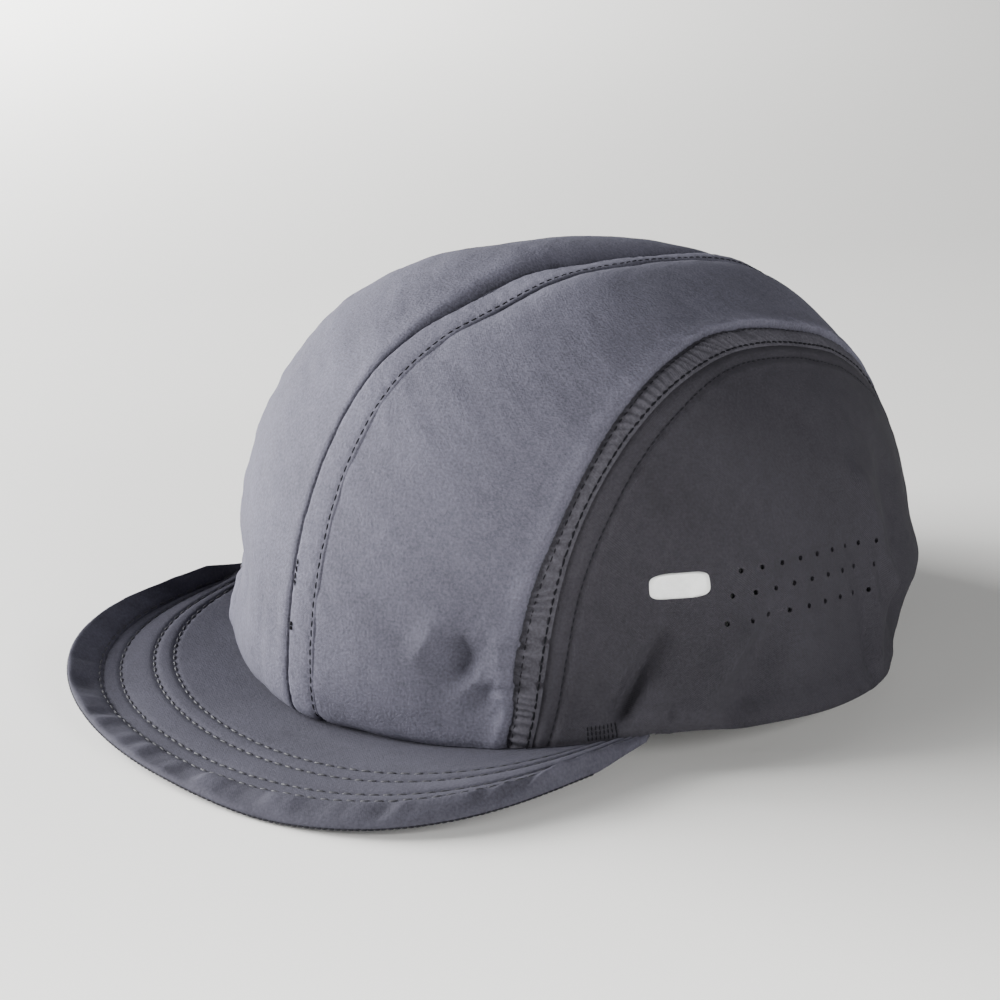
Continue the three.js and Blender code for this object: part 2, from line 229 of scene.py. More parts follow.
class Unevenness:
    """Smooth seeded noise over a plane, between -1 and 1."""

    def __init__(self, seed: int, cells: int = 128) -> None:
        """Draws the lattice of values.

        Args:
            seed: fixed seed of the lattice.
            cells: lattice size, after which the noise repeats.
        """
        self.cells = cells
        self.lattice = np.random.default_rng(seed).uniform(-1, 1, (cells, cells))

    def at(self, x: Array, y: Array) -> Array:
        """The noise at each place, whose unit is one lattice cell."""
        x, y = np.broadcast_arrays(np.asarray(x, float), np.asarray(y, float))
        left, low = np.floor(x).astype(int), np.floor(y).astype(int)
        u, v = x - left, y - low
        u, v = u * u * (3 - 2 * u), v * v * (3 - 2 * v)
        a = self.lattice[left % self.cells, low % self.cells]
        b = self.lattice[(left + 1) % self.cells, low % self.cells]
        c = self.lattice[left % self.cells, (low + 1) % self.cells]
        d = self.lattice[(left + 1) % self.cells, (low + 1) % self.cells]
        return (a * (1 - u) + b * u) * (1 - v) + (c * (1 - u) + d * u) * v


@dataclass(frozen=True)
class PeakForm:
    """The soft peak: its outline in plan and the height of its top face."""

    height: float = 2.3
    fall: float = -0.5
    arch: float = 4.0
    arch_fall: float = -0.5
    dish: float = 0.75
    arch_width: float = 60.0
    reach: float = 50.0
    hem_front: float = 85.0
    tip: float = 131.7
    corner_x: float = 77.7
    corner_y: float = 41.3
    fullness: float = 0.49

    @property
    def corner_angle(self) -> float:
        """Angle round the crown at which the peak meets the hem."""
        return math.atan2(self.corner_x, self.corner_y)

    def top(self, x: Array, y: Array) -> Array:
        """Height of the top face over a place of the plan."""
        across = (x / self.arch_width) ** 2
        ahead = (-y - self.hem_front) / self.reach
        level = self.height + self.fall * ahead + self.dish * ahead**2
        return level + self.arch * across + self.arch_fall * across * ahead

    def edge(self, turn: Array) -> tuple[Array, Array]:
        """The outline in plan, where turn runs from -90 to 90 degrees."""
        forward = np.maximum(np.cos(turn), 0) ** self.fullness
        return self.corner_x * np.sin(turn), -self.corner_y - (self.tip - self.corner_y) * forward


@dataclass(frozen=True)
class CrownForm:
    """The face of the crown as the cloth lies, with its dents and folds."""

    peak: PeakForm = PeakForm()
    hem: Oval = Oval(93.0, 85.0, 84.0, 1.9)
    body: Oval = Oval(84.4, 90.2, 104.1, 1.85)
    spring: Round = Round(5.0, 13.0, 6.5)
    rise: Round = Round(2.9, 3.0, 2.1)
    close: Round = Round(1.78, 2.1, 2.9)
    bulge: Round = Round(-0.03, -0.01, 0.05)
    height: float = 105.0
    apex_y: float = -3.75
    mean_radius: float = 88.0
    hem_arch: float = 0.6
    seam_gap: float = 0.3
    flat_from_deg: float = 158.0
    gather_count: int = 24
    gather_depth: float = 1.3
    gather_spread_deg: float = 48.0
    gather_rise: float = 20.0
    fold_settle: float = 5.0
    crest_drop: float = 3.4
    crest_middle: float = 3.0
    crest_width: float = 12.0
    crest_grows: tuple[float, float] = (-62.0, 36.0)
    crest_dies: tuple[float, float] = (22.0, 50.0)
    ditch_drop: float = 1.8
    ditch_middle: float = -1.0
    ditch_width: float = 6.0
    ditch_grows: tuple[float, float] = (-16.0, 24.0)
    ditch_dies: tuple[float, float] = (24.0, 40.0)
    folds: tuple[Fold, ...] = MAIN_FOLDS + FINE_FOLDS

    def hem_height(self, angle: Array, x: Array, y: Array) -> Array:
        """Height of the hem above the floor."""
        corner_angle = self.peak.corner_angle
        turned = np.abs(angle)
        span = math.radians(self.flat_from_deg) - corner_angle
        share = np.clip((turned - corner_angle) / span, 0, 1)
        corner = self.peak.top(self.peak.corner_x, -self.peak.corner_y) + self.seam_gap
        fall = corner * (0.5 + 0.5 * np.cos(np.pi * share))
        behind = fall + self.hem_arch * np.sin(np.pi * share) ** 2
        return np.where(turned < corner_angle, self.peak.top(x, y) + self.seam_gap, behind)

    def place(self, angle: Array, share: Array) -> tuple[Array, Array]:
        """Places of the cloth's face in the cap's own frame.

        Args:
            angle: angle round the crown, in radians.
            share: share of the rise, from 0 at the hem to 1 at the top.

        Returns:
            The places as an array of x, y and z, and each one's height above the hem.
        """
        hem_radius, body_radius = self.hem.radius(angle), self.body.radius(angle)
        hem_z = self.hem_height(angle, hem_radius * np.sin(angle), -hem_radius * np.cos(angle))
        turn = np.clip(share, 0, 1) * np.pi / 2
        rise = np.sin(turn) ** (2 / self.rise.at(angle))
        bulge = 1 + self.bulge.at(angle) * np.sin(np.pi * rise)
        close = np.maximum(np.cos(turn), 0) ** (2 / self.close.at(angle)) * bulge
        height = (self.height - hem_z) * rise
        flare = (hem_radius - body_radius) * np.exp(-height / self.spring.at(angle)) * (1 - rise)
        radius = body_radius * close + flare
        radius = radius + self.fold_depth(angle, height) * np.clip(height / self.fold_settle, 0, 1)
        x, y = radius * np.sin(angle), -radius * np.cos(angle) + self.apex_y * rise
        z = hem_z + height + self.crest(x, y)
        return np.stack(np.broadcast_arrays(x, y, z), -1), height

    def crest(self, x: Array, y: Array) -> Array:
        """How the top sinks along the middle seam, between the panels that stand beside it."""
        along = ramp(y, *self.crest_grows) * (1 - ramp(y, *self.crest_dies))
        sunk = self.crest_drop * along * bell(x, self.crest_width, self.crest_middle)
        behind = ramp(y, *self.ditch_grows) * (1 - ramp(y, *self.ditch_dies))
        return -sunk - self.ditch_drop * behind * bell(x, self.ditch_width, self.ditch_middle)

    def fold_depth(self, angle: Array, height: Array) -> Array:
        """How far the folds and the gathered rear move the cloth outward."""
        round_mm = self.mean_radius * angle
        depth = np.zeros(np.broadcast(angle, height).shape)
        for fold in self.folds:
            depth = depth + fold.depth_at(round_mm, height, self.mean_radius)
        from_rear = np.pi - np.abs(angle)
        gathered = np.exp(-((from_rear / math.radians(self.gather_spread_deg)) ** 4))
        fade = np.exp(-height / self.gather_rise)
        return depth + self.gather_depth * gathered * fade * np.cos(self.gather_count * angle)


@dataclass(frozen=True)
class SeamLine:
    """A seam in plan: how far it lies to the side for places from the front to the rear."""

    rows: tuple[tuple[float, float], ...]
    steps: int = 24

    def across(self, y: Array) -> Array:
        """Distance of the seam from the middle at each y."""
        points = np.array(self.rows)
        points = np.vstack([points[0], points, points[-1]])
        share = np.linspace(0, 1, self.steps, endpoint=False)[:, None]
        curve = []
        for first in range(len(points) - 3):
            p0, p1, p2, p3 = points[first : first + 4]
            slope1, slope2 = 0.5 * (p2 - p0), 0.5 * (p3 - p1)
            cubic = (2 * p1 - 2 * p2 + slope1 + slope2) * share**3
            square = (-3 * p1 + 3 * p2 - 2 * slope1 - slope2) * share**2
            curve.append(cubic + square + slope1 * share + p1)
        line = np.vstack([*curve, points[-1]])
        return np.interp(y, line[:, 0], line[:, 1])


ARCH_SEAM = SeamLine(
    ((-112, 50.0), (-68, 54.5), (-52, 57.2), (-34, 56.0), (-10, 52.0), (5, 49.0), (35, 46.0),
     (58, 40.3), (82, 35.5), (135, 31.0))
)
ARCH_STITCH = SeamLine(
    ((-112, 54.0), (-68, 58.8), (-52, 60.2), (-34, 59.9), (-10, 57.1), (5, 54.6), (35, 50.8),
     (58, 45.0), (82, 39.8), (135, 35.0))
)
ARCH_THIRD_ROW = SeamLine(
    ((-112, 57.0), (-68, 61.6), (-52, 63.2), (-40, 63.9), (-22, 62.4), (-10, 60.5), (5, 57.8),
     (35, 54.2), (58, 49.0), (82, 43.8), (135, 39.0))
)
CENTRE_EDGE = SeamLine(
    ((-112, 8.9), (-70, 8.9), (-52, 9.4), (-36, 11.0), (-16, 12.4), (10, 12.6), (50, 11.5),
     (90, 9.6), (135, 9.0))
)

PlanLine = Callable[[Array], Array]


def straight(place: float) -> PlanLine:
    """A line at one distance from the middle."""
    return lambda y: place + 0 * y


def beside(line: PlanLine, step: float) -> PlanLine:
    """A line that runs one distance outside another."""
    return lambda y: line(y) + step


def between(inner: PlanLine, outer: PlanLine, share: float) -> PlanLine:
    """A line at a share of the way from one line to another."""
    return lambda y: inner(y) + (outer(y) - inner(y)) * share


@dataclass(frozen=True)
class LaneTracer:
    """Finds where upright lanes of the plan run over the crown, from the front hem to the rear hem."""

    form: CrownForm
    front_deg: float = 60.0
    rear_deg: float = 125.0
    wall_levels: int = 90
    top_steps: int = 70
    halvings: int = 34
    front_room: float = 1.25
    rear_room: float = 0.85
    crowding: float = 1.5

    def trace(self, lanes: Sequence[PlanLine], sides: Array, runs: int) -> tuple[Array, Array]:
        """Traces lanes at even distances.

        Args:
            lanes: for each lane, its distance from the middle as a function of y.
            sides: for each lane, 1 on the wearer's left and -1 on the right.
            runs: how many places each lane gets.

        Returns:
            Angles and shares, one row for each lane.
        """
        side = np.asarray(sides, float)[:, None]

        def beyond(angle: Array, share: Array) -> Array:
            """How far the face lies outside the lane."""
            place, _ = self.form.place(side * angle, share)
            line = np.stack([lane(row) for lane, row in zip(lanes, place[..., 1])])
            return side * place[..., 0] - line

        front, rear = math.radians(self.front_deg), math.radians(self.rear_deg)
        over = np.repeat(np.linspace(front, rear, self.top_steps)[None, :], len(lanes), 0)
        top_share = self._halve(lambda share: beyond(over, share), over * 0, over * 0 + 1)
        ramp = np.linspace(0, 1, self.wall_levels, endpoint=False) ** self.crowding
        front_share = top_share[:, :1] * ramp
        rear_share = top_share[:, -1:] * ramp[::-1]
        low, high = front_share * 0, front_share * 0 + front * self.front_room
        front_angle = self._halve(lambda angle: -beyond(angle, front_share), low, high)
        low, high = rear_share * 0 + rear * self.rear_room, rear_share * 0 + np.pi
        rear_angle = self._halve(lambda angle: beyond(angle, rear_share), low, high)
        angle = side * np.concatenate([front_angle, over, rear_angle], 1)
        share = np.concatenate([front_share, top_share, rear_share], 1)
        return self._evenly(angle, share, runs)

    def _halve(self, sign: Callable[[Array], Array], low: Array, high: Array) -> Array:
        """Finds where a falling value crosses zero between low and high."""
        for _ in range(self.halvings):
            middle = (low + high) / 2
            above = sign(middle) > 0
            low, high = np.where(above, middle, low), np.where(above, high, middle)
        return (low + high) / 2

    def _evenly(self, angle: Array, share: Array, runs: int) -> tuple[Array, Array]:
        """Spreads the places of each lane at even distances."""
        place, _ = self.form.place(angle, share)
        step = np.linalg.norm(np.diff(place, axis=1), axis=2)
        angles, shares = [], []
        for row in range(len(angle)):
            along = np.concatenate([[0], np.cumsum(step[row] + 1e-6)])
            wanted = np.linspace(0, along[-1], runs)
            angles.append(np.interp(wanted, along, angle[row]))
            crowded = share[row] ** (1 / self.crowding)
            shares.append(np.interp(wanted, along, crowded) ** self.crowding)
        return np.array(angles), np.array(shares)


# Closed shells of cloth


def gap_to(points: Array, line: Array) -> Array:
    """Distance of each point to the nearest point of a line.

    Args:
        points: places, with x, y and z last.
        line: places along the line.

    Returns:
        One distance for each point.
    """
    flat = points.reshape(-1, 3)
    nearest = [
        np.sqrt(((part[:, None] - line[None]) ** 2).sum(2).min(1))
        for part in np.array_split(flat, GAP_PARTS)
    ]
    return np.concatenate(nearest).reshape(points.shape[:-1])


def lengths_along(points: Array, axis: int) -> Array:
    """Distance walked over a grid of places along one of its axes."""
    step = np.linalg.norm(np.diff(points, axis=axis), axis=2)
    start = np.zeros_like(np.take(step, [0], axis=axis))
    return np.concatenate([start, np.cumsum(step, axis=axis)], axis=axis)


def outward(points: Array, centre: Array) -> Array:
    """Unit normals of a grid of places, pointing away from a centre."""
    normal = np.cross(np.gradient(points, axis=0), np.gradient(points, axis=1))
    normal /= np.linalg.norm(normal, axis=2, keepdims=True) + 1e-12
    away = (normal * (points - centre)).sum(2).sum()
    return normal if away > 0 else -normal


def placed(name: str, data: bpy.types.ID) -> bpy.types.Object:
    """Makes an object and links it to the scene.

    Args:
        name: its name.
        data: its mesh, light or camera.

    Returns:
        The object.
    """
    made = bpy.data.objects.new(name, data)
    bpy.context.scene.collection.objects.link(made)
    return made


def applied(source: bpy.types.Object) -> bpy.types.Mesh:
    """The mesh that an object's modifiers leave."""
    graph = bpy.context.evaluated_depsgraph_get()
    return bpy.data.meshes.new_from_object(source.evaluated_get(graph), depsgraph=graph)


def shade_smooth(mesh: bpy.types.Mesh, sharp_deg: float | None = None) -> None:
    """Shades a mesh smooth.

    Args:
        mesh: the mesh.
        sharp_deg: angle from which an edge stays sharp, or None for no sharp edge.
    """
    mesh.polygons.foreach_set("use_smooth", [True] * len(mesh.polygons))
    if sharp_deg is not None:
        mesh.set_sharp_from_angle(angle=math.radians(sharp_deg))


@dataclass
class ClothShell:
    """A closed piece of cloth between an outer and an inner grid of places."""

    name: str
    outer: Array
    inner: Array
    cloth_mm: Array
    relief: Array
    sharp_deg: float = 55.0

    def faces(self) -> list[tuple[int, ...]]:
        """Quads of both faces and of the four rims, facing outward."""
        rows, columns = self.outer.shape[:2]
        index = np.arange(rows * columns).reshape(rows, columns)
        back = index + rows * columns
        a, b, c, d = index[:-1, :-1], index[1:, :-1], index[1:, 1:], index[:-1, 1:]
        quads = [np.stack([a, b, c, d], -1).reshape(-1, 4)]
        a, b, c, d = back[:-1, :-1], back[1:, :-1], back[1:, 1:], back[:-1, 1:]
        quads.append(np.stack([d, c, b, a], -1).reshape(-1, 4))
        for edge, behind in (
            (index[::-1, 0], back[::-1, 0]),
            (index[:, -1], back[:, -1]),
            (index[0, :], back[0, :]),
            (index[-1, ::-1], back[-1, ::-1]),
        ):
            quads.append(np.stack([edge[:-1], edge[1:], behind[1:], behind[:-1]], -1))
        every = np.vstack(quads)
        grid = self.outer
        middle = grid[rows // 2, columns // 2]
        cross = np.cross(
            grid[rows // 2 + 1, columns // 2] - middle, grid[rows // 2, columns // 2 + 1] - middle
        )
        if np.dot(cross, middle - self.inner[rows // 2, columns // 2]) < 0:
            every = every[:, ::-1]
        return every.tolist()

    def build(self, finish: bpy.types.Material) -> bpy.types.Object:
        """Makes the Blender object.

        Args:
            finish: material of the whole piece.

        Returns:
            The object, with its place in its mesh.
        """
        mesh = bpy.data.meshes.new(self.name)
        points = np.vstack([self.outer.reshape(-1, 3), self.inner.reshape(-1, 3)]) * MM
        mesh.from_pydata(points.tolist(), [], self.faces())
        corners = np.empty(len(mesh.loops), int)
        mesh.loops.foreach_get("vertex_index", corners)
        cloth = np.vstack([self.cloth_mm.reshape(-1, 2)] * 2)
        layer = mesh.uv_layers.new(name="cloth")
        layer.data.foreach_set("uv", cloth[corners].ravel().astype(np.float32))
        # The outer face's relief, which the cloth finishes read to paint shade into ditches and lighten
        # ridges.
        relief = mesh.attributes.new("relief", "FLOAT", "POINT")
        both = np.concatenate([self.relief.ravel(), self.relief.ravel() * 0])
        relief.data.foreach_set("value", both.astype(np.float32))
        shade_smooth(mesh, self.sharp_deg)
        mesh.materials.append(finish)
        return placed(self.name, mesh)


def hand_over(piece: bpy.types.Object, nodes: Iterable[str] = ()) -> None:
    """Ties a finished piece to the cap's body and reports it.

    Args:
        piece: the finished object.
        nodes: the solids that it stands for.
    """
    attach(piece, "root")
    for node in nodes:
        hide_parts(node)
    LOG.info("%s: %d faces", piece.name, len(piece.data.polygons))


# Shader maths


class Signal:
    """A number carried by a shader socket, on which Python's operators add Math nodes."""

    def __init__(self, tree: bpy.types.NodeTree, socket: bpy.types.NodeSocket) -> None:
        """Wraps a socket of a tree."""
        self.tree = tree
        self.socket = socket

    def _math(self, operation: str, *values: Signal | float) -> Signal:
        """Adds one Math node on values or other signals."""
        node = self.tree.nodes.new("ShaderNodeMath")
        node.operation = operation
        for slot, value in zip(node.inputs, values):
            if isinstance(value, Signal):
                self.tree.links.new(value.socket, slot)
            else:
                slot.default_value = value
        return Signal(self.tree, node.outputs[0])

    def __add__(self, other: Signal | float) -> Signal:
        """Sum."""
        return self._math("ADD", self, other)

    def __radd__(self, other: float) -> Signal:
        """Sum with the number first."""
        return self._math("ADD", other, self)

    def __sub__(self, other: Signal | float) -> Signal:
        """Difference."""
        return self._math("SUBTRACT", self, other)

    def __rsub__(self, other: float) -> Signal:
        """Difference with the number first."""
        return self._math("SUBTRACT", other, self)

    def __mul__(self, other: Signal | float) -> Signal:
        """Product."""
        return self._math("MULTIPLY", self, other)

    def __rmul__(self, other: float) -> Signal:
        """Product with the number first."""
        return self._math("MULTIPLY", other, self)

    def sine(self) -> Signal:
        """Sine of the signal."""
        return self._math("SINE", self)

    def held(self, low: float, high: float) -> Signal:
        """The signal held between two numbers."""
        return self._math("MINIMUM", self._math("MAXIMUM", self, low), high)


class Palette:
    """A material under construction."""

    def __init__(self, name: str) -> None:
        """Makes the material with a Principled shader and empties the rest."""
        self.material = bpy.data.materials.new(name)
        self.material.use_nodes = True
        self.tree = self.material.node_tree
        self.tree.nodes.clear()
        self.shader = self.tree.nodes.new("ShaderNodeBsdfPrincipled")
        output = self.tree.nodes.new("ShaderNodeOutputMaterial")
        self.tree.links.new(self.shader.outputs[0], output.inputs[0])

    def node(self, kind: str, settings: dict[str, object], inputs: dict[str, object]) -> bpy.types.Node:
        """Adds a node.

        Args:
            kind: Blender's node type.
            settings: properties, set first.
            inputs: values, signals or sockets by input name.

        Returns:
            The node.
        """
        made = self.tree.nodes.new(kind)
        for name, value in settings.items():
            setattr(made, name, value)
        for name, value in inputs.items():
            self.feed(made.inputs[name], value)
        return made

    def feed(self, socket: bpy.types.NodeSocket, value: object) -> None:
        """Links or sets one input."""
        if isinstance(value, Signal):
            self.tree.links.new(value.socket, socket)
        elif isinstance(value, bpy.types.NodeSocket):
            self.tree.links.new(value, socket)
        else:
            socket.default_value = value

    def signal(self, node: bpy.types.Node, output: str | int = 0) -> Signal:
        """One output of a node as a signal."""
        return Signal(self.tree, node.outputs[output])

    def slub(self, source: bpy.types.NodeSocket, across: float, along: float) -> Signal:
        """Noise that is stretched along the yarns of one direction."""
        inputs = {"Vector": source, "Scale": (across, along, 1.0)}
        return self.noise(self.node("ShaderNodeMapping", {}, inputs).outputs[0], 1.0)

    def noise(self, source: bpy.types.NodeSocket, scale: float, detail: float = 2.0) -> Signal:
        """Noise around zero, about -0.5 to 0.5."""
        made = self.node("ShaderNodeTexNoise", {}, {"Vector": source, "Scale": scale, "Detail": detail})
        return self.signal(made, "Fac") - 0.5

    def blend(
        self, share: Signal, first: Sequence[float], second: Sequence[float]
    ) -> bpy.types.NodeSocket:
        """A colour between two colours."""
        mix = self.tree.nodes.new("ShaderNodeMix")
        mix.data_type = "RGBA"
        self.feed(mix.inputs[0], share)
        mix.inputs[6].default_value = (*first, 1.0)
        mix.inputs[7].default_value = (*second, 1.0)
        return mix.outputs[2]

    def finish(self, values: dict[str, object]) -> bpy.types.Material:
        """Sets the shader's inputs and returns the material."""
        for name, value in values.items():
            self.feed(self.shader.inputs[name], value)
        return self.material


@dataclass(frozen=True)
class WovenCloth:
    """Stretch-woven cloth: fine grain, dark and light yarn, worn ridges and painted shade in ditches."""

    name: str
    dark: tuple[float, float, float]
    light: tuple[float, float, float]
    weave: float = 0.04
    grain: float = 1.0
    fleck: float = 1.0
    yarn_pitch: float = 0.62
    slub_scales: tuple[float, float] = (0.35, 2.2)
    fleck_scale: float = 1500.0
    mottle_scale: float = 240.0
    cloud_scale: float = 38.0
    fleck_tone: float = 1.5
    slub_tone: float = 0.3
    mottle_tone: float = 0.35
    cloud_tone: float = 0.25
    # How far the relief tints the colour: raised ridges lighter as wear, ditches darker as painted shade.
    wear_and_shade_tone: float = 0.25
    fleck_rise: float = 0.75
    mottle_rise: float = 0.5
    slub_rise: float = 0.2
    rise_m: float = 0.0003
    roughness: float = 0.82
    uneven: float = 0.2
    sheen: float = 0.02
    sheen_roughness: float = 0.45
    sheen_tint: tuple[float, ...] = (0.75, 0.78, 0.9, 1.0)
    specular: float = 0.1

    def material(self) -> bpy.types.Material:
        """Builds the finish."""
        palette = Palette(f"cap_{self.name}")
        cloth = palette.node("ShaderNodeUVMap", {"uv_map": "cloth"}, {}).outputs[0]
        solid = palette.node("ShaderNodeTexCoord", {}, {}).outputs["Object"]
        relief = palette.signal(
            palette.node("ShaderNodeAttribute", {"attribute_name": "relief"}, {}), "Fac"
        )
        split = palette.node("ShaderNodeSeparateXYZ", {}, {"Vector": cloth})
        turn = 2 * math.pi / self.yarn_pitch
        warp = (palette.signal(split, "X") * turn).sine()
        weft = (palette.signal(split, "Y") * turn).sine()
        weave = warp * weft
        thin, thick = self.slub_scales
        slubs = palette.slub(cloth, thin, thick) + palette.slub(cloth, thick, thin)
        fleck = palette.noise(solid, self.fleck_scale)
        mottle = palette.noise(solid, self.mottle_scale, 3.0)
        cloud = palette.noise(solid, self.cloud_scale)
        yarns = (fleck * self.fleck_tone + slubs * self.slub_tone) * self.fleck
        share = 0.5 + yarns + mottle * self.mottle_tone + cloud * self.cloud_tone
        # The relief is painted into the colour: lighter on raised ridges as wear, darker in ditches, seams
        # and creases as painted shade.
        share = share + relief * self.wear_and_shade_tone
        colour = palette.blend(share.held(0.0, 1.0), self.dark, self.light)
        height = weave * self.weave + fleck * self.fleck_rise
        height = height + mottle * self.mottle_rise + slubs * self.slub_rise
        bump = palette.node(
            "ShaderNodeBump", {}, {"Strength": self.grain, "Distance": self.rise_m, "Height": height}
        )
        return palette.finish(
            {
                "Base Color": colour,
                "Roughness": (fleck * self.uneven + self.roughness).held(0.5, 1.0),
                "Normal": bump.outputs[0],
                "Sheen Weight": self.sheen,
                "Sheen Roughness": self.sheen_roughness,
                "Sheen Tint": self.sheen_tint,
                "Specular IOR Level": self.specular,
            }
        )


@dataclass(frozen=True)
class Thread:
    """Twisted polyester sewing thread."""

    name: str
    dark: tuple[float, float, float]
    light: tuple[float, float, float]
    roughness: float
    gloss: float
    ply_scale: float = 5200.0
    ply_tone: float = 1.4
    grain: float = 0.5
    rise_m: float = 0.00008

    def material(self) -> bpy.types.Material:
        """Builds the finish."""
        palette = Palette(f"cap_{self.name}")
        solid = palette.node("ShaderNodeTexCoord", {}, {}).outputs["Object"]
        ply = palette.noise(solid, self.ply_scale, 1.0)
        colour = palette.blend((0.5 + ply * self.ply_tone).held(0.0, 1.0), self.dark, self.light)
        bump = palette.node(
            "ShaderNodeBump", {}, {"Strength": self.grain, "Distance": self.rise_m, "Height": ply}
        )
        return palette.finish(
            {
                "Base Color": colour,
                "Roughness": (ply * 0.2 + self.roughness).held(0.15, 1.0),
                "Normal": bump.outputs[0],
                "Specular IOR Level": self.gloss,
            }
        )


@dataclass(frozen=True)
class ReflectivePrint:
    """A pale transfer film with fine glass beads."""

    name: str
    dark: tuple[float, float, float] = (0.62, 0.63, 0.62)
    light: tuple[float, float, float] = (0.88, 0.89, 0.88)
    bead_scale: float = 3800.0
    wear_scale: float = 420.0
    grain: float = 0.3
    rise_m: float = 0.00005

    def material(self) -> bpy.types.Material:
        """Builds the finish."""
        palette = Palette(f"cap_{self.name}")
        solid = palette.node("ShaderNodeTexCoord", {}, {}).outputs["Object"]
        bead = palette.noise(solid, self.bead_scale)
        wear = palette.noise(solid, self.wear_scale, 3.0)
        share = (0.55 + bead * 0.7 + wear * 0.9).held(0.0, 1.0)
        colour = palette.blend(share, self.dark, self.light)
        bump = palette.node(
            "ShaderNodeBump", {}, {"Strength": self.grain, "Distance": self.rise_m, "Height": bead}
        )
        return palette.finish(
            {
                "Base Color": colour,
                "Roughness": (0.42 + bead * 0.25).held(0.2, 0.8),
                "Metallic": (0.12 + bead * 0.2).held(0.0, 0.4),
                "Normal": bump.outputs[0],
            }
        )


class Finish(Enum):
    """The finishes of the cap."""

    CROWN = WovenCloth(
        "woven_crown", (0.0485, 0.0473, 0.0612), (0.129, 0.1262, 0.1648), grain=0.9, fleck=0.75
    )
    SIDE = WovenCloth(
        "woven_side", (0.0217, 0.0204, 0.0244), (0.0495, 0.0469, 0.0566), 0.25, grain=0.6, fleck=0.6
    )
    STRIP = WovenCloth(
        "woven_strip", (0.032, 0.0307, 0.0372), (0.091, 0.0875, 0.104), 0.12, grain=0.6, fleck=0.6
    )
    BRIM = WovenCloth(
        "woven_brim", (0.0292, 0.0284, 0.0369), (0.0808, 0.0788, 0.1022), 0.06, grain=0.5, fleck=0.55
    )
    DARK_THREAD = Thread("dark_thread", (0.004, 0.004, 0.005), (0.014, 0.014, 0.018), 0.85, 0.1)
    GREY_THREAD = Thread("grey_thread", (0.006, 0.006, 0.008), (0.020, 0.0195, 0.025), 0.75, 0.15)
    GLOSSY_THREAD = Thread("glossy_thread", (0.02, 0.02, 0.024), (0.062, 0.061, 0.072), 0.52, 0.22)
    PRINT = ReflectivePrint("bead_print")

    def material(self) -> bpy.types.Material:
        """The finish's material, made once."""
        return bpy.data.materials.get(f"cap_{self.value.name}") or self.value.material()


# Threads


